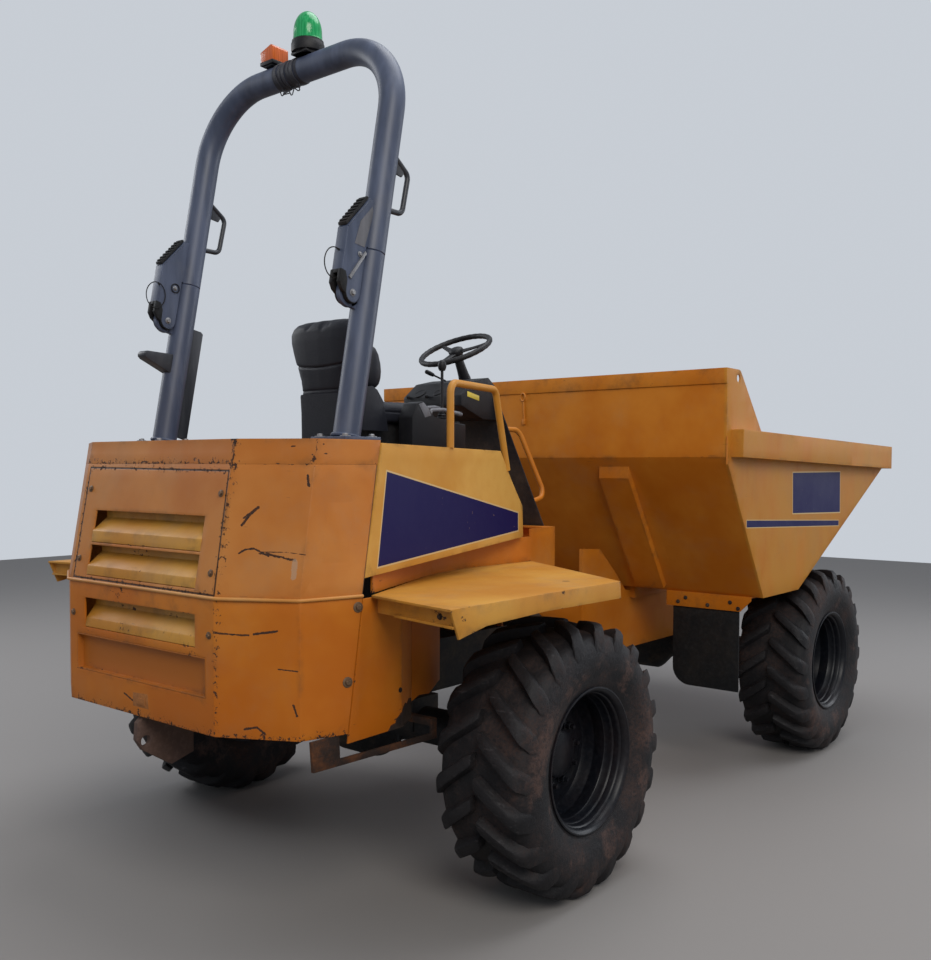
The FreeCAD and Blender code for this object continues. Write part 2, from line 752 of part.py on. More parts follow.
def front_frame():
    half = size.front_frame_half
    under_skip = size.skip_floor - size.running_gap
    outline = [
        (ahead(ROCK_WALL_REAR), FRONT_PLATE_BOTTOM), (ahead(2700), FRONT_PLATE_BOTTOM), (ahead(2870), 700),
        (tip_x + 78, tip_z - 20), (tip_x, tip_z), (tip_x - 78, tip_z - 20), (ahead(2640), 905),
        (ahead(1890), 930), (ahead(1745), 950), (ahead(1660), 1035), (ahead(1468), 1199),
        (ahead(ROCK_WALL_REAR), 1210)]
    parts = []
    for key, low in (("right", -half), ("left", half - SIDE_PLATE)):
        parts.append(plate("front_plate_" + key, "side", low, SIDE_PLATE, outline))
        parts.append(round_bar("hinge_boss_" + key, HINGE_BOSS_RADIUS, SIDE_PLATE, tip_x, low, tip_z))
    for side in (-1, 1):
        start = side * half - (0 if side > 0 else 62)
        parts.append(round_bar("hinge_pin_%d" % side, HINGE_PIN_RADIUS, 62,
                               tip_x, start, tip_z, "y", PIN_SIDES))
        parts.append(block("rest_pad_%d" % side, (ahead(1800), side * (half - 10) - 40, 900),
                           (ahead(2200), side * (half - 10) + 40, under_skip)))
    # first and last distance ahead of the rear axle, lowest and highest
    for i, (start, end, low, high) in enumerate((
            (ROCK_WALL_REAR, ROCK_WALL_REAR + ROCK_WALL_THICK, FRONT_PLATE_BOTTOM, 900),
            (1900, 1920, FRONT_PLATE_BOTTOM, 670),
            (2780, 2800, 690, 900))):
        parts.append(block("front_cross_%d" % i, (ahead(start), -half, low), (ahead(end), half, high)))
    root = ahead(ROCK_WALL_REAR + 30)
    eye = ahead(RAM_FOOT_REACH)
    for side in (-1, 1):
        for key, offset in (("out", 1), ("in", -1)):
            face = side * RAM_SIDE + offset * (RAM_EYE_HALF + EYE_GAP)
            low = face if offset > 0 else face - RAM_FOOT_WALL
            parts.append(plate("ram_foot_%d_%s" % (side, key), "side", low, RAM_FOOT_WALL,
                               [(root, FRONT_PLATE_BOTTOM), (eye, 602), (eye + 30, RAM_FOOT_HEIGHT - 15),
                                (eye + 30, RAM_FOOT_HEIGHT + 15), (eye, 674), (root, 720)]))
        parts.append(round_bar("ram_foot_pin_%d" % side, RAM_PIN_RADIUS, RAM_EYE_HALF * 2 + 2, eye,
                               side * RAM_SIDE - RAM_EYE_HALF - 1, RAM_FOOT_HEIGHT, "y", PIN_SIDES))
    solid = fuse("front_frame_solid", parts)
    bore = rod("rock_bore", TRUNNION_RADIUS + size.running_gap, 100,
               ahead(ROCK_WALL_REAR) - 20, 0, pivot_level, "x")
    node("front_frame", cut("front_frame", solid, bore))


front_frame()


# Tip rams: a pair, each standing between two ears of the front chassis and two of the skip

RAM_BARREL_RADIUS = 55
RAM_ROD_RADIUS = 24
RAM_EYE_RADIUS = 40
ram_length = math.hypot(RAM_HEAD_REACH - RAM_FOOT_REACH, RAM_HEAD_HEIGHT - RAM_FOOT_HEIGHT)
ram_slope = math.degrees(math.atan2(RAM_HEAD_HEIGHT - RAM_FOOT_HEIGHT, RAM_HEAD_REACH - RAM_FOOT_REACH))


def tip_rams():
    barrel = ram_barrel(ram_length - 90, 52, RAM_BARREL_RADIUS, RAM_ROD_RADIUS, RAM_EYE_RADIUS - 4,
                        RAM_EYE_HALF, RAM_PIN_RADIUS)
    bar = ram_rod(ram_length, 150, RAM_ROD_RADIUS, RAM_EYE_RADIUS, RAM_EYE_HALF)
    for name, shape in (("tip_barrels", barrel), ("tip_rods", bar)):
        pair = []
        for side in (-1, 1):
            one = shape.copy()
            one.rotate(Vector(0, 0, 0), Vector(1, 0, 0), 90)
            one.rotate(Vector(0, 0, 0), Vector(0, 1, 0), -ram_slope)
            one.translate(Vector(ahead(RAM_FOOT_REACH).value, side * RAM_SIDE, RAM_FOOT_HEIGHT))
            pair.append(one)
        node(name, made(name, Part.makeCompound(pair)))


tip_rams()


# Skip: plumb sides, a sloped rear wall under an upright headboard, a flat floor and a long front slope

RIB_INNER = 406
RIB_OUTER = 584
RIB_PROUD = 34
GUSSET_TOP = 150
GUSSET_BOTTOM = 415
GUSSET_ROUND = 40
GUSSET_HOLE = 20
FLANGE_HEIGHT = 74
FLANGE_PROUD = 6
rear_x = ahead(size.skip_rear)
lip_x = ahead(size.skip_lip)


def skip():
    half = size.skip_half
    sheet_wall = size.sheet_wall
    path = [(lip_x, size.skip_lip_height), (ahead(size.skip_floor_front), size.skip_floor),
            (ahead(size.skip_floor_rear), size.skip_floor), (rear_x, size.skip_crease),
            (rear_x, size.skip_top)]
    fold = bent_sheet([(number(u), number(v)) for u, v in path], -sheet_wall)
    shell = face_of([(u, -half, w) for u, w in fold]).extrude(Vector(0, half.value * 2, 0))
    trough = made("skip_fold", shell)
    side_outline = path + [(rear_x + GUSSET_TOP, size.skip_top),
                           (rear_x + GUSSET_BOTTOM, size.rim_rail_rear_top), (lip_x, size.rim_rail_front_top)]
    gusset_hole = (rear_x + GUSSET_TOP - 20, size.skip_top - 43, GUSSET_HOLE)
    rail_rear = rear_x + 53
    rail_outline = [(rail_rear, size.skip_crease), (lip_x, size.skip_lip_height),
                    (lip_x, size.rim_rail_front_top), (rail_rear, size.rim_rail_rear_top)]
    parts = [trough]
    for key, side in (("right", -1), ("left", 1)):
        low = -half if side < 0 else half - sheet_wall
        parts.append(plate("skip_side_" + key, "side", low, sheet_wall, side_outline, (gusset_hole,),
                           (((5,), GUSSET_ROUND),)))
        rail_low = -half - size.rim_rail_proud if side < 0 else half
        parts.append(plate("rim_rail_" + key, "side", rail_low, size.rim_rail_proud, rail_outline))
    parts.append(block("top_flange", (rear_x - FLANGE_PROUD, -half, size.skip_top - FLANGE_HEIGHT),
                       (rear_x + 1, half, size.skip_top)))
    parts += rear_ribs()
    node("skip", fuse("skip", parts))


def rear_ribs():
    """Folded channels on the sloped rear wall."""
    run = (size.skip_floor_rear - size.skip_rear).value
    rise = (size.skip_crease - size.skip_floor).value
    reach = math.hypot(run, rise)
    out = (-rise / reach * RIB_PROUD, -run / reach * RIB_PROUD)

    def on_wall(height):
        return number(rear_x) + run * (size.skip_crease.value - height) / rise, height

    top = on_wall(1652)
    shoulder = on_wall(1610)
    foot = on_wall(size.skip_floor.value + 30)
    outline = [top, foot, (foot[0] + out[0], foot[1] + out[1]), (shoulder[0] + out[0], shoulder[1] + out[1])]
    ribs = []
    for key, low in (("right", -RIB_OUTER), ("left", RIB_INNER)):
        shape = face_of([(u, low, w) for u, w in outline]).extrude(Vector(0, RIB_OUTER - RIB_INNER, 0))
        ribs.append(made("rear_rib_" + key, shape))
    return ribs


skip()

HINGE_PLATE_INNER = 340
HINGE_PLATE_WALL = 20
FLAP_REAR = 1752
FLAP_INNER = 620
FLAP_OUTER = 1005
FLAP_WALL = 10
FLAP_BOTTOM = 455
FLAP_TOP = 930
FLAP_ROUND = 100
FLAP_BRACKET_INNER = 582
FLAP_BRACKET_OUTER = 1073
FLAP_BRACKET_BOTTOM = 888
EAR_THICK = 16


def skip_brackets():
    """What carries the skip: hinge plates, ears for the rams and angle brackets for the flaps."""
    run = (size.skip_lip - size.skip_floor_front).value
    rise = (size.skip_lip_height - size.skip_floor).value

    def on_slope(reach):
        return ahead(reach), size.skip_floor.value + rise * (reach - size.skip_floor_front.value) / run

    parts = []
    eye = ahead(RAM_HEAD_REACH)
    fold = ahead(size.skip_floor_front)
    for key, side in (("right", -1), ("left", 1)):
        low = -HINGE_PLATE_INNER - HINGE_PLATE_WALL if side < 0 else HINGE_PLATE_INNER
        sheet_part = plate("hinge_plate_" + key, "side", low, HINGE_PLATE_WALL,
                           [(tip_x - 72, tip_z - 20), (tip_x + 72, tip_z - 20),
                            on_slope(3180), on_slope(2700)])
        boss = round_bar("hinge_eye_" + key, HINGE_BOSS_RADIUS - 5, HINGE_PLATE_WALL, tip_x, low, tip_z)
        solid = fuse("hinge_bracket_" + key, [sheet_part, boss])
        hole = rod("hinge_hole_" + key, HINGE_PIN_RADIUS + size.running_gap, 60, tip_x, low - 20, tip_z)
        parts.append(cut("hinge_" + key, solid, hole))
        for where, offset in (("out", 1), ("in", -1)):
            face = side * RAM_SIDE + offset * (RAM_EYE_HALF + size.running_gap)
            low = face if offset > 0 else face - EAR_THICK
            parts.append(plate("ram_ear_%s_%s" % (key, where), "side", low, EAR_THICK,
                               [(eye - 60, size.skip_floor - 140), (eye - 40, RAM_HEAD_HEIGHT - 45),
                                (eye + 40, RAM_HEAD_HEIGHT - 45), (eye + 60, size.skip_floor - 140),
                                on_slope(RAM_HEAD_REACH + 90), (fold, size.skip_floor),
                                (fold - 10, size.skip_floor)]))
        inner = side * FLAP_BRACKET_INNER
        outer = side * FLAP_BRACKET_OUTER
        back = ahead(FLAP_REAR) - 8
        points = [(inner, size.skip_floor), (outer, size.skip_floor), (outer, FLAP_BRACKET_BOTTOM + 60),
                  (outer - side * 60, FLAP_BRACKET_BOTTOM), (inner, FLAP_BRACKET_BOTTOM)]
        upright_leg = plate("flap_angle_" + key, "cross", back, 8, points)
        shelf = block("flap_shelf_" + key, (back, min(inner, outer), size.skip_floor - 8),
                      (ahead(size.skip_floor_rear) + 60, max(inner, outer), size.skip_floor))
        parts.append(fuse("flap_bracket_" + key, [upright_leg, shelf]))
    group = doc.addObject("Part::Compound", "skip_brackets")
    group.Links = parts
    node("skip_brackets", group)


def mud_flaps():
    flaps = []
    for key, side in (("right", -1), ("left", 1)):
        points = [(side * FLAP_INNER, FLAP_TOP), (side * FLAP_OUTER, FLAP_TOP),
                  (side * FLAP_OUTER, FLAP_BOTTOM), (side * FLAP_INNER, FLAP_BOTTOM)]
        flaps.append(plate("flap_" + key, "cross", ahead(FLAP_REAR), FLAP_WALL, points,
                           rounds=(((3,), FLAP_ROUND),)))
    group = doc.addObject("Part::Compound", "mud_flaps")
    group.Links = flaps
    node("mud_flaps", group)


skip_brackets()
mud_flaps()


# Tail: the engine cover, a lower ring, an upper ring that leans forward and a cap

CAP_BOTTOM = size.deck_height.value - size.cap_band.value
LOUVRE_WALL = 6


def tail_path(reaches):
    """From the left front, round the back, to the right front, given distances ahead and half widths."""
    left = [(ahead(x).value, y) for x, y in reaches]
    return left + [(x, -y) for x, y in reversed(left)]


tail_back = -size.tail_reach.value
deck_back = -size.deck_reach.value
TAIL_LEVELS = {
    # height: flank end, corner and back, each as distance ahead and half width
    "bottom": ((-880, 772), (tail_back + 145, 722), (tail_back, size.tail_half.value)),
    "belt": ((-822, size.flank_half.value), (tail_back + 145, 722), (tail_back, size.tail_half.value)),
    "cap": ((-716, 752), (deck_back + 122, 713), (deck_back - 16, 452)),
    "top": ((-697, 749), (deck_back + 135, 711), (deck_back, 451)),
}


def ring_sheet(lower, upper, low, high):
    outlines = [bent_sheet(tail_path(TAIL_LEVELS[key]), size.sheet_wall) for key in (lower, upper)]
    return skinned([upright(outlines[0], low), upright(outlines[1], high)])


LOUVRE_FOLD = 45
LOUVRE_DROP = 28
# half width, bottom, top
LOUVRES = ((345, 1355, 1477), (345, 1230, 1345), (350, 1030, 1143))
# The plain recess under the lowest louvre: half width, bottom, top
RECESS = (410, 862, 1002)
RECESS_DEPTH = 24
belt = size.belt_height.value


def back_reach(height):
    """X of the tail's outer back at a height."""
    share = max(0, height - belt) / (CAP_BOTTOM - belt)
    low = TAIL_LEVELS["belt"][2][0]
    return number(ahead(low + share * (TAIL_LEVELS["cap"][2][0] - low)))


def tail_ring(name, lower, upper, low, high):
    """A ring of sheet with a window for each louvre in its back."""
    ring = ring_sheet(lower, upper, low, high)
    for half, bottom, top in LOUVRES + (RECESS,):
        if low < bottom < high:
            window = Part.makeBox(300, half * 2, top - bottom, Vector(back_reach(low) - 60, -half, bottom))
            ring = ring.cut(window)
    node(name, made(name, ring))


tail_ring("tail_lower", "bottom", "belt", size.tail_bottom.value, belt)
tail_ring("tail_upper", "belt", "cap", belt, CAP_BOTTOM)
lid_low = size.deck_height.value - size.sheet_wall.value
lid = face_of(upright(tail_path(TAIL_LEVELS["top"]), lid_low)).extrude(Vector(0, 0, size.sheet_wall.value))
cap_band = ring_sheet("cap", "top", CAP_BOTTOM, lid_low)
node("top_cap", made("top_cap", cap_band.fuse(lid).removeSplitter()))


def louvre_blades():
    """Each louvre is one sheet that slopes out from the dark inside down to the window's lower edge."""
    blades = []
    for half, low, high in LOUVRES:
        edge = back_reach(low)
        inner = back_reach(high) + LOUVRE_FOLD
        profile = bent_sheet([(edge, low + 2), (edge + LOUVRE_WALL, high - LOUVRE_DROP - 50),
                              (inner, high - LOUVRE_DROP), (inner, high + 10)], -LOUVRE_WALL)
        blades.append(face_of([(u, -half, w) for u, w in profile]).extrude(Vector(0, half * 2, 0)))
    half, low, high = RECESS
    back = back_reach(low)
    tray = Part.makeBox(RECESS_DEPTH + LOUVRE_WALL, half * 2, high - low, Vector(back, -half, low))
    wall = LOUVRE_WALL
    room = Part.makeBox(RECESS_DEPTH + 5, half * 2 - wall * 2, high - low - wall * 2,
                        Vector(back - 5, -half + wall, low + wall))
    blades.append(tray.cut(room))
    return blades


node("rear_grilles", made("rear_grilles", Part.makeCompound(louvre_blades())))


# Body sides: the flat side panels stand on a line that narrows towards the front

PANEL_REAR = -807
PANEL_REAR_HALF = 777
PANEL_TOE = 12.285
PANEL_WALL = 12
panel_stretch = 1 / math.cos(math.radians(PANEL_TOE))


def panel_half(reach):
    """Half width of the body at the side panels' outer face."""
    return PANEL_REAR_HALF - math.tan(math.radians(PANEL_TOE)) * (reach - PANEL_REAR)


def side_panel(name, side, outline):
    local = [((reach - PANEL_REAR) * panel_stretch, height) for reach, height in outline]
    body = plate(name + "_sheet", "side", 0, PANEL_WALL, local)
    put(body, ahead(PANEL_REAR), -PANEL_REAR_HALF, 0, (0, 0, 1), PANEL_TOE)
    node(name, body if side < 0 else mirrored(name, body))


# distance ahead of the rear axle, height
RIGHT_PANEL = ((PANEL_REAR + 4, 1265), (511, 1324), (518, 1334), (509, 1468), (382, 1596), (273, 1719),
               (-692, 1732))
LEFT_PANEL = ((PANEL_REAR + 4, 1265), (-120, 1296), (-120, 1560), (-180, 1725), (-692, 1732))
side_panel("side_panel_right", -1, RIGHT_PANEL)
side_panel("side_panel_left", 1, LEFT_PANEL)


# Tub: the sill round the operator's floor and the column at its front

COLUMN_REAR = 604
COLUMN_FRONT = 850
COLUMN_BOTTOM = 962
# distance ahead, half width
TUB_PLAN = ((-736, 748), (-135, 497), (152, 442), (COLUMN_REAR, size.column_half.value), (COLUMN_FRONT, 440))
FLOOR_WALL = 8


def tub():
    right = [(ahead(x).value, -y) for x, y in TUB_PLAN]
    path = right + [(x, -y) for x, y in reversed(right)]
    sill_height = size.sill_rise.value
    sill = face_of(upright(bent_sheet(path, size.sheet_wall), size.fender_height))
    sill = sill.extrude(Vector(0, 0, sill_height))
    front = right[-2:] + [(x, -y) for x, y in reversed(right[-2:])]
    column = face_of(upright(bent_sheet(front, size.sheet_wall), COLUMN_BOTTOM))
    column = column.extrude(Vector(0, 0, size.column_height.value - COLUMN_BOTTOM))
    inner = inset(path, size.sheet_wall)[1:-1]
    floor = face_of(upright(inner, size.floor_height.value - FLOOR_WALL)).extrude(Vector(0, 0, FLOOR_WALL))
    top = face_of(upright([(ahead(780).value, -436), (ahead(COLUMN_FRONT).value, -432),
                           (ahead(COLUMN_FRONT).value, 432), (ahead(780).value, 436)],
                          size.column_height.value - FLOOR_WALL)).extrude(Vector(0, 0, FLOOR_WALL))
    sheets = (("tub_sill", sill), ("tub_column", column), ("tub_floor", floor), ("tub_top", top))
    parts = [made(name, shape) for name, shape in sheets]
    for i, reach in enumerate((-100, 590)):
        parts.append(block("tub_bulkhead_%d" % i, (ahead(reach), -size.frame_half, size.frame_top),
                           (ahead(reach + 10), size.frame_half, size.floor_height - FLOOR_WALL)))
    node("body_tub", fuse("body_tub", parts))


tub()


# Fenders over the rear wheels

FENDER_WALL = 8
# distance ahead of the rear axle, drop below the fender's top
FENDER_SKIRT = ((-874, 0), (-832, 99), (-692, 72), (-358, 62), (159, 67), (153, 0))


def fender():
    inner = [(-780, -786), (-135, -495), (152, -442), (611, -469)]
    outer = [(-874, -size.fender_half), (153, -size.fender_half)]
    top_points = [(ahead(x), y) for x, y in outer + inner[::-1]]
    lid_part = plate("fender_top", "floor", size.fender_height - FENDER_WALL, FENDER_WALL, top_points)
    skirt = plate("fender_skirt", "side", -size.fender_half, FENDER_WALL,
                  [(ahead(reach), size.fender_height - drop) for reach, drop in FENDER_SKIRT])
    half = size.fender_half.value
    down = Vector(0, 0, -size.fender_skirt.value)
    top = size.fender_height.value
    back_lip = face_of(upright([(ahead(-844), -half), (ahead(-750), -786), (ahead(-740), -786),
                                (ahead(-834), -half)], top)).extrude(down)
    level = top - size.fender_skirt.value
    foot = face_of(upright([(ahead(-858), 6 - half), (ahead(-790), -900), (ahead(-760), -900),
                            (ahead(-828), 6 - half)], level)).extrude(Vector(0, 0, FENDER_WALL))
    front_lip = face_of(upright([(ahead(153), -half), (ahead(611), -469), (ahead(601), -469),
                                 (ahead(143), -half)], top)).extrude(down)
    lips = (("fender_back_lip", back_lip), ("fender_foot", foot), ("fender_front_lip", front_lip))
    return fuse("fender_solid", [lid_part, skirt] + [made(name, shape) for name, shape in lips])


fender_right = fender()
node("fender_left", mirrored("fender_left", fender_right))
node("fender_right", fender_right)


# Flank panels between the tail and the rear wheels; their rear edge lies along the tail's slanting seam

# height, distance ahead of the rear edge, half width there
FLANK_LEVELS = ((705, -878, 770), (1196.5, -817, 783.5))


def flanks():
    sheets = []
    for side in (-1, 1):
        sections = []
        for height, reach, half in FLANK_LEVELS:
            path = [(ahead(reach).value, half), (ahead(-600).value, 760), (ahead(-470).value, 690)]
            outline = [(u, side * v) for u, v in bent_sheet(path, -size.sheet_wall)]
            sections.append(upright(outline, height))
        sheets.append(skinned(sections))
    return Part.makeCompound(sheets)


node("flank_panels", made("flank_panels", flanks()))


# Operator's place

DECK_WALL = 12
DECK_TOP = size.deck_height - 30
RISER_REACH = 242


def seat_base():
    rear_half = panel_half(-690) - 13
    front_half = panel_half(250) - 13
    deck = plate("seat_deck", "floor", DECK_TOP - DECK_WALL, DECK_WALL,
                 [(ahead(-690), -rear_half), (ahead(250), -front_half), (ahead(250), front_half),
                  (ahead(-690), rear_half)])
    riser = block("seat_riser", (ahead(RISER_REACH), -430, size.floor_height),
                  (ahead(RISER_REACH) + FLOOR_WALL, 430, DECK_TOP - DECK_WALL))
    cheek = block("seat_cheek", (ahead(-130), 422, size.floor_height),
                  (ahead(RISER_REACH), 430, DECK_TOP - DECK_WALL))
    pedestal = block("seat_pedestal", (ahead(-230), -180, DECK_TOP), (ahead(150), 180, 1839))
    node("seat_base", fuse("seat_base", [deck, riser, cheek, pedestal]))


seat_base()
node("seat_cushion", plate("seat_cushion", "side", -size.seat_half, size.seat_half * 2,
                           [(ahead(-290), 1839.3), (ahead(200), 1839.3), (ahead(215), 1940),
                            (ahead(-290), 1930)],
                           rounds=(((2, 3), 35),)))
node("seat_back", plate("seat_back", "side", -size.seat_half, size.seat_half * 2,
                        [(ahead(-285), 1930.4), (ahead(-140), 1933.3), (ahead(-175), 2285),
                         (ahead(-300), 2285)],
                        rounds=(((2, 3), 40),)))
lever_box = block("lever_box", (ahead(-60), -320, DECK_TOP), (ahead(300), -238, 1930))
lever = round_bar("lever_stick", 8, 150, ahead(180), -280, 1929, "z", 6)
knob = round_bar("lever_knob", 20, 50, ahead(180), -280, 2078, "z", 8)
node("lever_console", fuse("lever_console", [lever_box, lever, knob]))

SHIELD_BOTTOM_HALF = 376
SHIELD_TOP_HALF = 190
SHIELD_TOP = 2014
SHIELD_TOP_REACH = 690
SHIELD_WALL = 8


def shield_reach(height):
    """How far ahead the shield's front face is at a height."""
    share = (height - size.column_height.value) / (SHIELD_TOP - size.column_height.value)
    return COLUMN_FRONT + share * (SHIELD_TOP_REACH - COLUMN_FRONT)


def shield_section(height, half):
    front = ahead(shield_reach(height))
    return [(front - SHIELD_WALL, -half, height), (front, -half, height), (front, half, height),
            (front - SHIELD_WALL, half, height)]


node("leg_shield", made("leg_shield", skinned([shield_section(size.column_height.value, SHIELD_BOTTOM_HALF),
                                               shield_section(SHIELD_TOP, SHIELD_TOP_HALF)])))
node("dash_console", plate("dash_console", "side", -185, 370,
                           [(ahead(shield_reach(1880) - SHIELD_WALL), 1880),
                            (ahead(shield_reach(SHIELD_TOP) - SHIELD_WALL), SHIELD_TOP),
                            (ahead(SHIELD_TOP_REACH), SHIELD_TOP), (ahead(SHIELD_TOP_REACH), 2050),
                            (ahead(640), 2085), (ahead(520), 2060), (ahead(430), 1990), (ahead(430), 1940),
                            (ahead(600), 1880)]))

WHEEL_REACH = 608
WHEEL_HEIGHT = 2230
WHEEL_TILT = -28
COLUMN_LENGTH = 185
GRIP_RADIUS = 14
GRIP_SIDES = 6
WHEEL_FACETS = 20


def steering_column():
    column = round_bar("column_tube", 30, COLUMN_LENGTH - 30, 0, 0, 0, "z")
    tilt = math.radians(WHEEL_TILT)
    put(column, ahead(WHEEL_REACH) - math.sin(tilt) * COLUMN_LENGTH, 0,
        WHEEL_HEIGHT - math.cos(tilt) * COLUMN_LENGTH, (0, 1, 0), WHEEL_TILT)
    dash_part = [thing for thing in nodes if thing.Label == "dash_console"][0]
    node("steering_column", cut("steering_column", column, dash_part))


steering_column()


def steering_wheel():
    across_grip = [(GRIP_RADIUS * math.cos(t), GRIP_RADIUS * math.sin(t))
                   for t in [2 * math.pi * (i + 0.5) / GRIP_SIDES for i in range(GRIP_SIDES)]]
    outlines = []
    for i in range(WHEEL_FACETS):
        turn = 2 * math.pi * i / WHEEL_FACETS
        reach = size.wheel_rim_radius.value
        outlines.append([((reach + u) * math.cos(turn), (reach + u) * math.sin(turn), w)
                         for u, w in across_grip])
    grip = made("wheel_grip", skinned(outlines, closed=True))
    hub = round_bar("wheel_hub", 38, 42, 0, 0, -29.7, "z")
    spokes = []
    for i in range(3):
        spoke = block("wheel_spoke_%d" % i, (0, -16, -20), (size.wheel_rim_radius, 16, -8))
        turn = math.radians(60 + 120 * i)
        put(spoke, 16 * math.sin(turn), -16 * math.cos(turn), -20, (0, 0, 1), 60 + 120 * i)
        spokes.append(spoke)
    wheel = fuse("steering_wheel", [grip, hub] + spokes)
    put(wheel, ahead(WHEEL_REACH), 0, WHEEL_HEIGHT, (0, 1, 0), WHEEL_TILT)
    node("steering_wheel", wheel)


steering_wheel()


# Hand rails, each a bent tube on its own mounting

RAIL_RADIUS = 17.5


def panel_slab(outline, half_wall):
    """The right side panel's outline as a slab about its own plane, to trim what stands on its edges."""
    corners = [(ahead(x), PANEL_WALL / 2 - panel_half(x), z) for x, z in outline]
    out = Vector(math.sin(math.radians(PANEL_TOE)), -math.cos(math.radians(PANEL_TOE)), 0) * half_wall
    slab_face = face_of(corners)
    slab_face.translate(out)
    return slab_face.extrude(out * -2)


def grab_rail():
    """Stands on the side panel's top edge and comes down on its sloping front edge."""
    reaches = ((-182, 1700), (-182, 1985), (225, 1985), (352, 1625))
    points = [(ahead(x), PANEL_WALL / 2 - panel_half(x), z) for x, z in reaches]
    rail = pipe(points, 45, RAIL_RADIUS).cut(panel_slab(RIGHT_PANEL, 40))
    return max(rail.Solids, key=lambda solid: solid.Volume)


node("grab_rail_right", made("grab_rail_right", grab_rail()))

SHIELD_RAIL_RADIUS = 13


def shield_rail():
    """A handle in front of the shield, from its upper to its lower right edge."""
    def spot(height, out, beside):
        share = (height - size.column_height.value) / (SHIELD_TOP - size.column_height.value)
        half = SHIELD_BOTTOM_HALF + share * (SHIELD_TOP_HALF - SHIELD_BOTTOM_HALF)
        return ahead(shield_reach(height) + out), beside - half, height
    points = [spot(1836, -4, 28), spot(1836, 120, 28), spot(1500, 140, 28), spot(1475, -4, 28)]
    doc.recompute()
    shield = [thing for thing in nodes if thing.Label == "leg_shield"][0]
    rail = pipe(points, 55, SHIELD_RAIL_RADIUS, 6).cut(shield.Shape)
    return max(rail.Solids, key=lambda solid: solid.Volume)


node("shield_rail", made("shield_rail", shield_rail()))


# Roll bar: two lower legs, and a hoop that folds back about a pivot behind each leg.
# Both are drawn upright, with the leg's axis on Z, and then leaned forward together.

LEAN_BASE = 1600
BAR_SIDES = 10
DISC_SIDES = 12
SEAM_HEIGHT = 2437
HINGE_HALF = 10
CHANNEL_IN = 15
CHANNEL_OUT = 25
FOOT_HALF = 90
FOOT_WALL = 30
lean = math.radians(size.roll_bar_lean.value)
upright_scale = 1 / math.cos(lean)


def along_leg(height):
    """Distance along the leg from the lean's base to a height over the ground."""
    return (number(height) - LEAN_BASE) * upright_scale


def in_leg(reach, height):
    """A point behind or before the leg's axis, and its distance along the leg."""
    dx = reach + size.roll_bar_foot.value
    dz = height - LEAN_BASE
    return dx * math.cos(lean) - dz * math.sin(lean), dx * math.sin(lean) + dz * math.cos(lean)


seam = along_leg(SEAM_HEIGHT)
fold_x, fold_s = in_leg(-size.fold_pivot_reach.value, size.fold_pivot_height.value)
HINGE_RADIUS = 50
CHANNEL_RADIUS = 36
FOLD_PIN_RADIUS = 12.7


def slab(points, low, high):
    return face_of([(u, low, w) for u, w in points]).extrude(Vector(0, high - low, 0))


def leaned(name, shape):
    return put(made(name, shape), ahead(-size.roll_bar_foot), 0, LEAN_BASE, (0, 1, 0), size.roll_bar_lean)


def faceted_disc(radius, low, high):
    """A many sided disc about the fold's axis."""
    return skinned([[(fold_x + x, y, fold_s + z) for x, gone, z in hoop_points(DISC_SIDES, 0, radius)]
                    for y in (low, high)])


def lower_leg(side):
    y = side * size.roll_bar_half.value
    radius = size.roll_bar_radius.value
    foot = along_leg(size.deck_height)
    tube = pipe([(0, y, foot - 30), (0, y, seam)], 1, radius, BAR_SIDES)
    hinge = slab([(-20, seam - 230), (fold_x + 20, fold_s - 46), (fold_x, fold_s), (fold_x - 8, fold_s + 40),
                  (fold_x - 8, seam - 22), (-20, seam - 12)], y - HINGE_HALF, y + HINGE_HALF)
    knuckle = faceted_disc(HINGE_RADIUS, y - HINGE_HALF, y + HINGE_HALF)
    pin_half = CHANNEL_OUT + 10
    fold_pin = Part.makeCylinder(FOLD_PIN_RADIUS, pin_half * 2, Vector(fold_x, y - pin_half, fold_s), across)
    stop = slab([(-30, along_leg(2040)), (-175, along_leg(2015)), (-165, along_leg(2062)),
                 (-30, along_leg(2125))], y - 30, y + 30)
    return tube.fuse([hinge, knuckle, fold_pin] + ([stop] if side > 0 else [])).removeSplitter()


def flat_foot(side):
    y = side * size.roll_bar_half.value
    x = ahead(-size.roll_bar_foot + math.tan(lean) * (size.deck_height.value - LEAN_BASE)).value
    return Part.makeBox(FOOT_HALF * 2, FOOT_HALF * 2, FOOT_WALL,
                        Vector(x - FOOT_HALF, y - FOOT_HALF, size.deck_height.value))


def rops_lower():
    legs = []
    for side in (-1, 1):
        leg = lower_leg(side)
        leg.Placement = FreeCAD.Placement(Vector(ahead(-size.roll_bar_foot).value, 0, LEAN_BASE),
                                          FreeCAD.Rotation(Vector(0, 1, 0), size.roll_bar_lean.value))
        foot = flat_foot(side)
        below = Part.makeBox(400, 400, 200, Vector(foot.BoundBox.XMin - 100, foot.BoundBox.YMin - 100,
                                                   size.deck_height.value - 200))
        legs.append(leg.fuse(foot).removeSplitter().cut(below))
    return Part.makeCompound(legs)


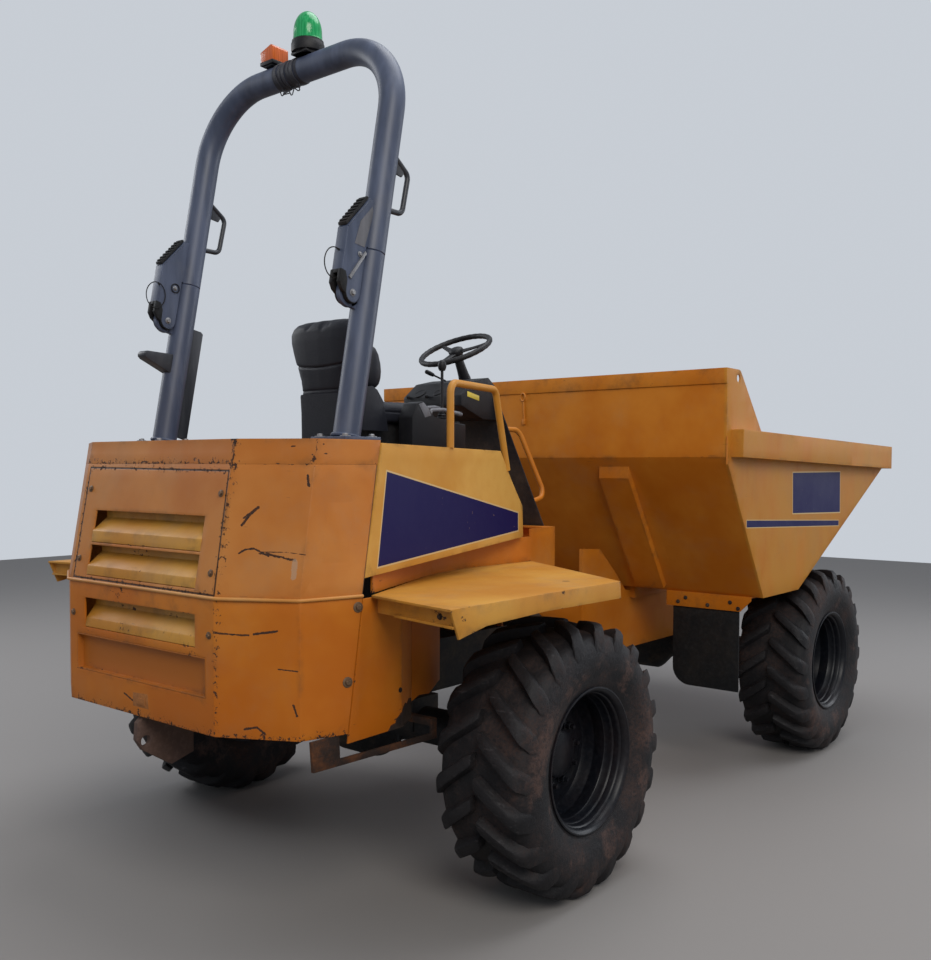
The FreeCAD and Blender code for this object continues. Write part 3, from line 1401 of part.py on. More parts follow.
def rops_hoop():
    half = size.roll_bar_half
    top = along_leg(size.roll_bar_top)
    start = seam + size.running_gap.value
    points = [(0, -half, start), (0, -half, top), (0, half, top), (0, half, start)]
    shapes = [pipe(points, size.roll_bar_bend.value, size.roll_bar_radius, BAR_SIDES, 4)]
    web_rear = fold_x - 68
    front = fold_x + CHANNEL_RADIUS
    for side in (-1, 1):
        y = side * half.value
        for low, high in ((CHANNEL_IN, CHANNEL_OUT), (-CHANNEL_OUT, -CHANNEL_IN)):
            cheek = slab([(fold_x - CHANNEL_RADIUS, fold_s), (front, fold_s), (front, seam + 6),
                          (-20, seam + 6), (-20, seam + 190), (-60, seam + 180),
                          (web_rear + 8, seam + 45), (web_rear + 8, fold_s + 65)], y + low, y + high)
            round_end = faceted_disc(CHANNEL_RADIUS, y + low, y + high)
            clear = (FOLD_PIN_RADIUS + size.running_gap.value) / math.cos(math.pi / DISC_SIDES)
            hole = faceted_disc(clear, y + low - 10, y + high + 10)
            shapes.append(cheek.fuse(round_end).removeSplitter().cut(hole))
        shapes.append(slab([(web_rear, fold_s + 65), (web_rear + 8, fold_s + 65), (web_rear + 8, seam + 45),
                            (web_rear, seam + 45)], y - CHANNEL_OUT, y + CHANNEL_OUT))
        shapes.append(slab([(web_rear, seam + 45), (web_rear + 8, seam + 45), (-60, seam + 180),
                            (-66, seam + 186)], y - CHANNEL_OUT, y + CHANNEL_OUT))
    return shapes[0].fuse(shapes[1:]).removeSplitter()


HANDLE_BEND = 28
HANDLE_RADIUS = 11


def rops_handles():
    radius = size.roll_bar_radius.value + size.running_gap.value
    y = -size.roll_bar_half.value
    points = [(0, y, along_leg(2760)), (133, y, along_leg(2790)), (120, y, along_leg(2640)),
              (0, y, along_leg(2600))]
    leg = pipe([(0, y, along_leg(2500)), (0, y, along_leg(2900))], 1, radius, BAR_SIDES)
    bar = pipe(points, HANDLE_BEND, HANDLE_RADIUS, 6, 2)
    right = max(bar.cut(leg).Solids, key=lambda solid: solid.Volume)
    return Part.makeCompound([right, right.mirror(middle, across)])


node("rops_lower", made("rops_lower", rops_lower()))
node("rops_hoop", leaned("rops_hoop", rops_hoop()))
node("rops_handles", leaned("rops_handles", rops_handles()))


# Lamps on the roll bar's top

BEACON_SIDE = -40
BEACON_TOP = 3520
LAMP_SIDE = 170
# How far the flats of the bar lie under its round
BAR_FLAT = 1.92
bar_top = size.roll_bar_top + size.roll_bar_radius + size.running_gap - BAR_FLAT
bar_reach = -size.roll_bar_foot.value + math.tan(lean) * (size.roll_bar_top.value - LEAN_BASE)


def beacon():
    x = ahead(bar_reach)
    foot = block("beacon_foot", (x - 55, BEACON_SIDE - 50, bar_top), (x + 55, BEACON_SIDE + 50, bar_top + 10))
    base = round_bar("beacon_base", 69, 40, x, BEACON_SIDE, bar_top + 10, "z")
    low = bar_top.value + 50
    # radius, height
    profile = ((60, low), (60, low + 55), (52, low + 88), (34, low + 112), (10, BEACON_TOP))
    rings = [[(u, w, h) for u, gone, w in hoop_points(12, 0, r)] for r, h in profile]
    dome = put(made("beacon_dome", skinned(rings)), x, BEACON_SIDE, 0)
    node("beacon", fuse("beacon", [foot, base, dome]))


def work_lamp():
    x = ahead(bar_reach)
    foot = block("lamp_foot", (x - 40, LAMP_SIDE - 30, bar_top), (x + 40, LAMP_SIDE + 30, bar_top + 8))
    body = block("lamp_body", (x - 50, LAMP_SIDE - 45, bar_top + 8), (x + 50, LAMP_SIDE + 45, 3430))
    node("side_lamp", fuse("side_lamp", [foot, body]))


beacon()
work_lamp()


# Towing plate on the rear cross plate, and a bent step bracket under the tail's right corner

HITCH_WALL = 25
tow_hole = (ahead(38 - size.hitch_reach), 643, size.hitch_bore)
# distance ahead of the rear cross plate, height
HITCH_PLATE = ((0, 850), (-45, 850), (-58, 732), (-79, 714), (RAIL_REAR - size.hitch_reach, 651), (-58, 610),
               (63, 532), (160, 560), (160, 757), (0, 757))
node("hitch", plate("hitch", "side", -HITCH_WALL / 2, HITCH_WALL,
                    [(ahead(reach - RAIL_REAR), height) for reach, height in HITCH_PLATE], (tow_hole,)))

STEP_SIDE = -756
STEP_WALL = 12
STEP_PLATE = ((-1031, 739), (-1022, 634), (-400, 622), (-400, 700), (-430, 700), (-430, 646), (-900, 655),
              (-904, 739))
step_sheet = plate("step_sheet", "side", STEP_SIDE, STEP_WALL,
                   [(ahead(reach), height) for reach, height in STEP_PLATE])
step_strut = block("step_strut", (ahead(-430), STEP_SIDE + STEP_WALL, 672),
                   (ahead(-400), -size.frame_half, 700))
node("step_bracket", fuse("step_bracket", [step_sheet, step_strut]))


# Every object has to be sound before anything is written.

doc.recompute()
for thing in doc.Objects:
    if "Invalid" in thing.State or "Error" in thing.State:
        raise RuntimeError("failed: " + thing.Name + " " + str(thing.State))
os.makedirs("parts", exist_ok=True)
for thing in nodes:
    if thing.Shape.isNull() or not thing.Shape.isValid() or not thing.Shape.Solids:
        raise RuntimeError("not a sound solid: " + thing.Label)
for thing in nodes:
    thing.Shape.exportStep("parts/" + thing.Label + ".step")
print(len(nodes), "nodes, box", [round(v, 1) for v in (
    Part.makeCompound([thing.Shape for thing in nodes]).BoundBox.XLength,
    Part.makeCompound([thing.Shape for thing in nodes]).BoundBox.YLength,
    Part.makeCompound([thing.Shape for thing in nodes]).BoundBox.ZLength)])
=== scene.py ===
import bmesh
import bpy
import json
import math
import numpy as np
from mathutils import Matrix, Vector
from mathutils.kdtree import KDTree

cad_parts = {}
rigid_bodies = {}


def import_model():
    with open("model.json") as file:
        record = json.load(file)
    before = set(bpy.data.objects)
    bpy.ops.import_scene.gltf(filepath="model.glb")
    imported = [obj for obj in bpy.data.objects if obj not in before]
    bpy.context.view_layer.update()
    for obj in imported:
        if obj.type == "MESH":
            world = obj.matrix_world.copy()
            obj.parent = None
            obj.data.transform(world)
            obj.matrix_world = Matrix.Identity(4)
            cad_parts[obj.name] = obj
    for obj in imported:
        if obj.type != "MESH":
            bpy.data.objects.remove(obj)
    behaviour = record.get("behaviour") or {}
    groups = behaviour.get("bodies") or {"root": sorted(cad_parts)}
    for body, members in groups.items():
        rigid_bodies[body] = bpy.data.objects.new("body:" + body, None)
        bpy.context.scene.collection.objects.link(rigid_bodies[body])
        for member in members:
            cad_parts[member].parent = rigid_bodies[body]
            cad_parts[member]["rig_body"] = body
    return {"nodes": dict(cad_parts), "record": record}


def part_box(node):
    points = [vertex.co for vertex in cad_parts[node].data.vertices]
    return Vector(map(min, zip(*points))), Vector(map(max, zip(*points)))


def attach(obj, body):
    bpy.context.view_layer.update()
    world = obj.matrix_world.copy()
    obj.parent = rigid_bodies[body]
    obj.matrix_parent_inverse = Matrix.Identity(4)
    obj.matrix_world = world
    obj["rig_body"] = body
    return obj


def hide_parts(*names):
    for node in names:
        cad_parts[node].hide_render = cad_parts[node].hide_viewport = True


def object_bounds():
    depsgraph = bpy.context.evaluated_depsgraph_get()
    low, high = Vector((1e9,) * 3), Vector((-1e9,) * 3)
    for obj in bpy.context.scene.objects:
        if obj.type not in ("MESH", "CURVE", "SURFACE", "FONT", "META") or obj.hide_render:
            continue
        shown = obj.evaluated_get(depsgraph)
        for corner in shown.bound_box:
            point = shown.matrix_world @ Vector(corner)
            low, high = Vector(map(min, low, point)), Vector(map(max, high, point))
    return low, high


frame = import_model()
cad_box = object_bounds()
nodes = frame["nodes"]
rng = np.random.default_rng(7)

# Main places, read from the frame
tyre_low, tyre_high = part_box("tyre_rear_right")
REAR_AXLE = (tyre_low.x + tyre_high.x) / 2
AXLE_HEIGHT = (tyre_low.z + tyre_high.z) / 2
front_low, front_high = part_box("tyre_front_right")
WHEELBASE = (front_low.x + front_high.x) / 2 - REAR_AXLE
HALF_TRACK = -(tyre_low.y + tyre_high.y) / 2
BODY_OF = {name: body for body, members in frame["record"]["behaviour"]["bodies"].items() for name in members}


def ahead(distance):
    """X of a place this far ahead of the rear axle."""
    return REAR_AXLE + distance


# Camera, light and floor

CAMERA_PLACE = (ahead(-3.2282), -3.2064, 1.6497)
CAMERA_YAW = 39.023
CAMERA_PITCH = -2.399
CAMERA_ROLL = 0.193
PHOTO_WIDTH = 931
PHOTO_HEIGHT = 960
FOCAL_PIXELS = 997.76
MIDDLE_X = 470.12
MIDDLE_Y = 508.42
SENSOR = 36.0


def make_camera():
    """The view of the photograph, with its principal point off the middle given by the shift."""
    yaw, pitch, roll = (math.radians(a) for a in (CAMERA_YAW, CAMERA_PITCH, CAMERA_ROLL))
    forward = Vector((math.cos(yaw) * math.cos(pitch), math.sin(yaw) * math.cos(pitch), math.sin(pitch)))
    level = forward.cross(Vector((0, 0, 1))).normalized()
    upward = level.cross(forward)
    right = math.cos(roll) * level + math.sin(roll) * upward
    up = -math.sin(roll) * level + math.cos(roll) * upward
    data = bpy.data.cameras.new("camera")
    data.sensor_width = SENSOR
    data.lens = FOCAL_PIXELS * SENSOR / PHOTO_HEIGHT
    data.shift_x = (PHOTO_WIDTH / 2 - MIDDLE_X) / PHOTO_HEIGHT
    data.shift_y = (MIDDLE_Y - PHOTO_HEIGHT / 2) / PHOTO_HEIGHT
    camera = bpy.data.objects.new("camera", data)
    bpy.context.scene.collection.objects.link(camera)
    turn = Matrix((right, up, -forward)).transposed().to_4x4()
    camera.matrix_world = Matrix.Translation(CAMERA_PLACE) @ turn
    bpy.context.scene.camera = camera


def add_light(name, place, target, power, width, colour=(1, 1, 1)):
    data = bpy.data.lights.new(name, "AREA")
    data.shape = "DISK"
    data.size = width
    data.energy = power
    data.color = colour
    light = bpy.data.objects.new(name, data)
    bpy.context.scene.collection.objects.link(light)
    light.location = place
    light.rotation_mode = "QUATERNION"
    light.rotation_quaternion = (Vector(target) - Vector(place)).to_track_quat("-Z", "Y")


def make_light():
    scene = bpy.context.scene
    scene.view_settings.view_transform = "Standard"
    world = bpy.data.worlds.new("studio")
    scene.world = world
    world.use_nodes = True
    tree = world.node_tree
    sky = tree.nodes["Background"]
    sky.inputs["Color"].default_value = (0.80, 0.86, 0.95, 1)
    sky.inputs["Strength"].default_value = 0.47
    seen = tree.nodes.new("ShaderNodeBackground")
    seen.inputs["Color"].default_value = (0.80, 0.85, 0.92, 1)
    seen.inputs["Strength"].default_value = 0.72
    both = tree.nodes.new("ShaderNodeMixShader")
    tree.links.new(tree.nodes.new("ShaderNodeLightPath").outputs["Is Camera Ray"], both.inputs["Fac"])
    tree.links.new(sky.outputs[0], both.inputs[1])
    tree.links.new(seen.outputs[0], both.inputs[2])
    tree.links.new(both.outputs[0], tree.nodes["World Output"].inputs["Surface"])
    add_light("key", (-5.5, -6.5, 6.5), (0, 0, 1.0), 400, 5.0, (1.0, 0.96, 0.90))
    add_light("over", (1.0, -1.0, 8.5), (0, 0, 1.0), 330, 6.0, (0.95, 0.97, 1.0))
    add_light("fill", (6.5, -4.0, 3.5), (0.5, 0, 1.0), 120, 4.0, (0.92, 0.95, 1.0))
    add_light("back", (-3.0, 7.5, 5.0), (0, 0, 1.0), 190, 4.0, (0.95, 0.97, 1.0))


make_camera()
make_light()


# Meshes

def skin_quads(rows, columns, close_rows=False, close_columns=False):
    """Quads that join the neighbouring points of a grid of rows."""
    last_row = rows if close_rows else rows - 1
    last_column = columns if close_columns else columns - 1
    quads = []
    for i in range(last_row):
        for j in range(last_column):
            k = (j + 1) % columns
            below = (i + 1) % rows * columns
            quads.append((i * columns + j, i * columns + k, below + k, below + j))
    return quads


def finish_mesh(thing, node_or_body, material, smooth_angle):
    mesh = thing.data
    mesh.materials.clear()
    mesh.materials.append(material)
    mesh.shade_smooth()
    mesh.set_sharp_from_angle(angle=math.radians(smooth_angle))
    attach(thing, node_or_body)
    return thing


def from_bmesh(name, mesh_code, body, material, smooth_angle=35):
    mesh = bpy.data.meshes.new(name)
    mesh_code.to_mesh(mesh)
    mesh_code.free()
    thing = bpy.data.objects.new(name, mesh)
    bpy.context.scene.collection.objects.link(thing)
    return finish_mesh(thing, body, material, smooth_angle)


def piece(name, points, faces, body, material, smooth_angle=35):
    """A mesh object whose closed surface faces outwards."""
    mesh = bpy.data.meshes.new(name)
    mesh.from_pydata(np.asarray(points, float).reshape(-1, 3).tolist(), [], faces)
    code = bmesh.new()
    code.from_mesh(mesh)
    bmesh.ops.remove_doubles(code, verts=code.verts, dist=1e-6)
    bmesh.ops.recalc_face_normals(code, faces=code.faces)
    bpy.data.meshes.remove(mesh)
    return from_bmesh(name, code, body, material, smooth_angle)


def tube_points(path, radius, sides=16, closed=False):
    """Rings of points round a path: each ring's two axes are carried along the path without twist."""
    path = np.asarray(path, float)
    count = len(path)
    if closed:
        tangents = np.roll(path, -1, 0) - np.roll(path, 1, 0)
    else:
        tangents = np.gradient(path, axis=0)
    tangents /= np.linalg.norm(tangents, axis=1)[:, None]
    first = np.cross(tangents[0], (0.13, 0.31, 0.94))
    first /= np.linalg.norm(first)
    turns = np.linspace(0, 2 * math.pi, sides, endpoint=False)
    rings = []
    side = first
    radii = np.broadcast_to(radius, (count,))
    for point, tangent, reach in zip(path, tangents, radii):
        side = side - tangent * side.dot(tangent)
        side /= np.linalg.norm(side)
        other = np.cross(tangent, side)
        rings.append(point + reach * (np.cos(turns)[:, None] * side + np.sin(turns)[:, None] * other))
    return np.array(rings)


def tube(name, path, radius, body, slot, material, sides=16, closed=False):
    rings = tube_points(path, radius, sides, closed)
    faces = skin_quads(len(rings), sides, closed, True)
    if not closed:
        faces.append(tuple(range(sides)))
        faces.append(tuple(range(len(rings) * sides - 1, (len(rings) - 1) * sides - 1, -1)))
    return piece(name, rings, faces, body, material)


def rounded_path(corners, bend, steps=8):
    """Straight runs whose corners are arcs of one radius."""
    corners = [Vector(c) for c in corners]
    track = [corners[0]]
    for before, corner, after in zip(corners, corners[1:], corners[2:]):
        back = (before - corner).normalized()
        on = (after - corner).normalized()
        half = back.angle(on) / 2
        centre = corner + (back + on).normalized() * (bend / math.sin(half))
        start = corner + back * (bend / math.tan(half)) - centre
        end = corner + on * (bend / math.tan(half)) - centre
        axis = start.cross(end).normalized()
        for i in range(steps + 1):
            turn = Matrix.Rotation((math.pi - 2 * half) * i / steps, 3, axis)
            track.append(centre + turn @ start)
    track.append(corners[-1])
    return np.array([tuple(p) for p in track])


def spun(profile, middle, axis="y", sides=96):
    """Rings of points made by turning a profile of (offset along the axis, radius) round the axis."""
    turns = np.linspace(0, 2 * math.pi, sides, endpoint=False)
    offset, radius = np.asarray(profile, float).T
    across = np.outer(radius, np.sin(turns))
    upward = np.outer(radius, np.cos(turns))
    level = np.repeat(offset[:, None], sides, 1)
    order = {"x": (level, across, upward), "y": (across, level, upward), "z": (across, upward, level)}[axis]
    return np.stack(order, -1) + np.asarray(middle, float)


def spun_piece(name, profile, middle, body, material, axis="y", sides=96, closed=False, smooth_angle=35):
    rings = spun(profile, middle, axis, sides)
    faces = skin_quads(len(rings), sides, closed, True)
    if not closed:
        faces.append(tuple(range(sides)))
        faces.append(tuple(range(len(rings) * sides - 1, (len(rings) - 1) * sides - 1, -1)))
    return piece(name, rings, faces, body, material, smooth_angle)


def joined(name, things, body, material, smooth_angle=35):
    """Several meshes as one piece."""
    code = bmesh.new()
    for thing in things:
        code.from_mesh(thing.data)
    for thing in things:
        mesh = thing.data
        bpy.data.objects.remove(thing)
        bpy.data.meshes.remove(mesh)
    return from_bmesh(name, code, body, material, smooth_angle)


def grid_cut(code, step):
    """Cut a mesh by evenly spaced planes, so that a value can vary over its flat faces."""
    for axis in range(3):
        places = [v.co[axis] for v in code.verts]
        low, high = min(places), max(places)
        count = int((high - low) / step)
        normal = Vector([1.0 if k == axis else 0.0 for k in range(3)])
        for i in range(1, count + 1):
            spot = normal * (low + (high - low) * i / (count + 1))
            bmesh.ops.bisect_plane(code, geom=code.verts[:] + code.edges[:] + code.faces[:], dist=1e-6,
                                   plane_co=spot, plane_no=normal)


def edge_reach(code, sharp):
    """Distance of every point from the nearest sharp edge, up to a tenth of a metre."""
    samples = []
    for start, end in sharp:
        count = max(2, int((end - start).length / 0.01) + 1)
        samples += [start.lerp(end, i / (count - 1)) for i in range(count)]
    tree = KDTree(len(samples))
    for i, spot in enumerate(samples):
        tree.insert(spot, i)
    tree.balance()
    return [min(0.1, tree.find(v.co)[2]) for v in code.verts]


def dressed(node, material, bevel=0.002, step=0.06, smooth_angle=30, name=None):
    """A copy of a CAD node with its edges rounded, its faces cut into a grid and each point's distance
    from the nearest edge kept as the attribute "edge", for wear."""
    code = bmesh.new()
    code.from_mesh(nodes[node].data)
    bmesh.ops.remove_doubles(code, verts=code.verts, dist=1e-5)
    bmesh.ops.dissolve_limit(code, angle_limit=math.radians(1), verts=code.verts, edges=code.edges)
    edges = [e for e in code.edges if len(e.link_faces) == 2 and e.calc_face_angle(0) > math.radians(25)]
    sharp = [(e.verts[0].co.copy(), e.verts[1].co.copy()) for e in edges]
    bmesh.ops.bevel(code, geom=edges, offset=bevel, segments=2, profile=0.6, affect="EDGES", clamp_overlap=True)
    grid_cut(code, step)
    reach = edge_reach(code, sharp)
    thing = from_bmesh(name or node + "_dressed", code, BODY_OF[node], material, smooth_angle)
    thing.data.attributes.new("edge", "FLOAT", "POINT").data.foreach_set("value", reach)
    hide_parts(node)
    return thing


def clip_outline(points, thick, origin, across, upward):
    """A slab: an outline of (across, upward) pairs on a plane, given a thickness along its normal."""
    across = Vector(across).normalized()
    upward = Vector(upward).normalized()
    normal = across.cross(upward)
    face = [Vector(origin) + across * u + upward * v for u, v in points]
    count = len(face)
    spots = [tuple(p) for p in face] + [tuple(p + normal * thick) for p in face]
    faces = [tuple(range(count))[::-1], tuple(range(count, 2 * count))]
    faces += [(i, (i + 1) % count, count + (i + 1) % count, count + i) for i in range(count)]
    return spots, faces


def slab(name, points, thick, origin, across, upward, body, slot, material, bevel=0.002):
    spots, faces = clip_outline(points, thick, origin, across, upward)
    mesh = bpy.data.meshes.new(name)
    mesh.from_pydata(spots, [], faces)
    code = bmesh.new()
    code.from_mesh(mesh)
    bpy.data.meshes.remove(mesh)
    bmesh.ops.recalc_face_normals(code, faces=code.faces)
    if bevel:
        bmesh.ops.bevel(code, geom=code.edges[:], offset=bevel, segments=2, profile=0.6, affect="EDGES",
                        clamp_overlap=True)
    return from_bmesh(name, code, body, material)


class Heap:
    """Closed forms that become one piece."""

    def __init__(self):
        self.code = bmesh.new()

    def add(self, points, faces, bevel=0.0):
        verts = [self.code.verts.new(tuple(p)) for p in np.asarray(points, float).reshape(-1, 3)]
        made = [self.code.faces.new([verts[i] for i in face]) for face in faces]
        if bevel:
            edges = list({e for f in made for e in f.edges})
            bmesh.ops.bevel(self.code, geom=edges, offset=bevel, segments=2, profile=0.6, affect="EDGES",
                            clamp_overlap=True)
        return self

    def rings(self, rings, closed=False):
        rings = np.asarray(rings)
        rows, columns = rings.shape[:2]
        faces = skin_quads(rows, columns, closed, True)
        if not closed:
            faces.append(tuple(range(columns)))
            faces.append(tuple(range(rows * columns - 1, (rows - 1) * columns - 1, -1)))
        return self.add(rings, faces)

    def tube(self, path, radius, sides=16, closed=False):
        return self.rings(tube_points(path, radius, sides, closed), closed)

    def spun(self, profile, middle, out=(0, 0, 1), sides=48, closed=False):
        """A profile of (distance along out, radius) turned about the line that leaves middle along out."""
        turn = Vector((0, 0, 1)).rotation_difference(Vector(out)).to_matrix().transposed()
        return self.rings(spun(profile, (0, 0, 0), "z", sides) @ np.array(turn) + np.asarray(middle, float), closed)

    def rod(self, start, end, radius, sides=24, round_off=0.0015):
        """A round bar between two points, with its end edges eased."""
        run = Vector(end) - Vector(start)
        long = run.length
        r = radius - round_off
        return self.spun([(0, 0), (0, r), (round_off, radius), (long - round_off, radius), (long, r), (long, 0)],
                         start, run.normalized(), sides)

    def slab(self, points, thick, origin, across, upward, bevel=0.002):
        spots, faces = clip_outline(points, thick, origin, across, upward)
        return self.add(spots, faces, bevel)

    def box(self, low, high, bevel=0.002):
        outline = [(low[0], low[1]), (high[0], low[1]), (high[0], high[1]), (low[0], high[1])]
        return self.slab(outline, high[2] - low[2], (0, 0, low[2]), (1, 0, 0), (0, 1, 0), bevel)

    def bolt(self, spot, out, radius=0.010, washer=1.75):
        """A hexagon head on a round washer."""
        wide = radius * washer
        self.spun([(0, 0), (0, wide), (radius * 0.20, wide), (radius * 0.28, wide * 0.9), (radius * 0.28, 0)],
                  spot, out, 24)
        self.spun([(radius * 0.25, 0), (radius * 0.25, radius), (radius * 0.80, radius), (radius, radius * 0.8),
                   (radius, 0)], spot, out, 6)
        return self

    def made(self, name, node, slot, material, smooth_angle=35, replaced=()):
        bmesh.ops.remove_doubles(self.code, verts=self.code.verts, dist=1e-6)
        bmesh.ops.recalc_face_normals(self.code, faces=self.code.faces)
        thing = from_bmesh(name, self.code, BODY_OF[node], material, smooth_angle)
        if replaced:
            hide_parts(*replaced)
        return thing


def arc(middle, radius, start, end, steps=12):
    """Points of an arc, from one angle in degrees to another."""
    turns = np.radians(np.linspace(start, end, steps + 1))
    return [(middle[0] + radius * math.cos(t), middle[1] + radius * math.sin(t)) for t in turns]


def mirror_y(points):
    return [(x, -y, z) for x, y, z in points]


# Shaders: sums of sockets are written as sums

class Wire:
    """A value in a shader. Its operators add a Math node each."""

    def __init__(self, tree, socket):
        self.tree = tree
        self.socket = socket

    def maths(self, operation, *others):
        node = self.tree.nodes.new("ShaderNodeMath")
        node.operation = operation
        for i, value in enumerate((self,) + others):
            if isinstance(value, Wire):
                self.tree.links.new(value.socket, node.inputs[i])
            else:
                node.inputs[i].default_value = value
        return Wire(self.tree, node.outputs[0])

    def __add__(self, other):
        return self.maths("ADD", other)

    def __radd__(self, other):
        return self.maths("ADD", other)

    def __sub__(self, other):
        return self.maths("SUBTRACT", other)

    def __rsub__(self, other):
        return (self * -1) + other

    def __mul__(self, other):
        return self.maths("MULTIPLY", other)

    def __rmul__(self, other):
        return self.maths("MULTIPLY", other)

    def __truediv__(self, other):
        return self.maths("DIVIDE", other)

    def __pow__(self, other):
        return self.maths("POWER", other)

    def over(self, limit):
        """One where the value is more than a limit, and nought elsewhere."""
        return self.maths("GREATER_THAN", limit)

    def under(self, limit):
        return self.maths("LESS_THAN", limit)

    def least(self, other):
        return self.maths("MINIMUM", other)

    def most(self, other):
        return self.maths("MAXIMUM", other)

    def size(self):
        return self.maths("ABSOLUTE")

    def wave(self):
        return self.maths("SINE")

    def ramp(self, low, high):
        """Goes smoothly from nought at low to one at high."""
        node = self.tree.nodes.new("ShaderNodeMapRange")
        node.interpolation_type = "SMOOTHSTEP"
        self.tree.links.new(self.socket, node.inputs["Value"])
        node.inputs["From Min"].default_value = low
        node.inputs["From Max"].default_value = high
        return Wire(self.tree, node.outputs["Result"])


class Finish:
    """A material with a Principled shader, its place in the object as x, y and z, and its nodes."""

    def __init__(self, name):
        self.material = bpy.data.materials.new(name)
        self.material.use_nodes = True
        self.tree = self.material.node_tree
        self.shader = self.tree.nodes["Principled BSDF"]
        self.place = self.node("ShaderNodeTexCoord").outputs["Object"]
        split = self.node("ShaderNodeSeparateXYZ", Vector=self.place)
        self.x, self.y, self.z = (Wire(self.tree, split.outputs[k]) for k in "XYZ")

    def node(self, kind, **inputs):
        made = self.tree.nodes.new(kind)
        for key, value in inputs.items():
            self.feed(made.inputs[key.replace("_", " ")], value)
        return made

    def feed(self, socket, value):
        if isinstance(value, Wire):
            value = value.socket
        if isinstance(value, bpy.types.NodeSocket):
            self.tree.links.new(value, socket)
        else:
            socket.default_value = value

    def stretched(self, x=1.0, y=1.0, z=1.0, shift=(0, 0, 0)):
        made = self.node("ShaderNodeMapping", Vector=self.place)
        made.inputs["Scale"].default_value = (x, y, z)
        made.inputs["Location"].default_value = shift
        return made.outputs["Vector"]

    def noise(self, scale, detail=4.0, rough=0.55, place=None, twist=0.0):
        made = self.node("ShaderNodeTexNoise", Vector=place or self.place, Scale=scale, Detail=detail,
                         Roughness=rough, Distortion=twist)
        return Wire(self.tree, made.outputs["Fac"])

    def cells(self, scale, feature="F1", place=None, random=1.0):
        made = self.node("ShaderNodeTexVoronoi", Vector=place or self.place, Scale=scale, Randomness=random)
        made.feature = feature
        return Wire(self.tree, made.outputs["Distance"])

    def edge(self):
        """Distance from the piece's nearest edge, in metres."""
        made = self.node("ShaderNodeAttribute")
        made.attribute_name = "edge"
        return Wire(self.tree, made.outputs["Fac"])

    def vectors(self, operation, first, second, output="Vector"):
        made = self.tree.nodes.new("ShaderNodeVectorMath")
        made.operation = operation
        self.feed(made.inputs[0], first)
        self.feed(made.inputs["Scale" if operation == "SCALE" else 1], second)
        return made.outputs[output]

    def near(self, start, end):
        """Distance from the straight line between two points, in metres."""
        run = Vector(end) - Vector(start)
        off = self.vectors("SUBTRACT", self.place, tuple(start))
        share = Wire(self.tree, self.vectors("DOT_PRODUCT", off, tuple(run), "Value")) / run.length_squared
        foot = self.vectors("SCALE", tuple(run), share.most(0).least(1))
        return Wire(self.tree, self.vectors("DISTANCE", off, foot, "Value"))

    def mix(self, share, first, second):
        """A colour between two colours."""
        made = self.tree.nodes.new("ShaderNodeMix")
        made.data_type = "RGBA"
        self.feed(made.inputs["Factor"], share)
        for socket, value in ((made.inputs[6], first), (made.inputs[7], second)):
            self.feed(socket, tuple(value) + (1,) if isinstance(value, (tuple, list)) else value)
        return made.outputs[2]

    def tint(self, colour, hue=0.5, saturation=1.0, value=1.0):
        made = self.node("ShaderNodeHueSaturation", Hue=hue, Saturation=saturation, Value=value)
        self.feed(made.inputs["Color"], tuple(colour) + (1,) if isinstance(colour, (tuple, list)) else colour)
        return made.outputs["Color"]

    def colour(self, value):
        self.feed(self.shader.inputs["Base Color"], tuple(value) + (1,) if isinstance(value, (tuple, list)) else value)

    def set(self, **inputs):
        for key, value in inputs.items():
            self.feed(self.shader.inputs[key.replace("_", " ")], value)

    def bump(self, height, distance=0.001, strength=1.0):
        made = self.node("ShaderNodeBump", Height=height, Distance=distance, Strength=strength)
        self.feed(self.shader.inputs["Normal"], made.outputs["Normal"])


# Materials

RUST = (0.075, 0.028, 0.012)
DARK_PRIMER = (0.035, 0.022, 0.018)
DUST = (0.30, 0.20, 0.12)
NAVY = (0.0085, 0.0075, 0.074)
PALE_LINE = (0.62, 0.45, 0.22)


def inside(finish, corners, across, upward, grow=0.0):
    """One inside a convex outline that is listed clockwise, and nought outside; grow moves its edges out."""
    share = None
    for (u0, v0), (u1, v1) in zip(corners, corners[1:] + corners[:1]):
        reach = math.hypot(u1 - u0, v1 - v0)
        a, b = (v1 - v0) / reach, -(u1 - u0) / reach
        distance = across * a + upward * b - (a * u0 + b * v0)
        side = distance.over(-grow)
        share = side if share is None else share * side
    return share


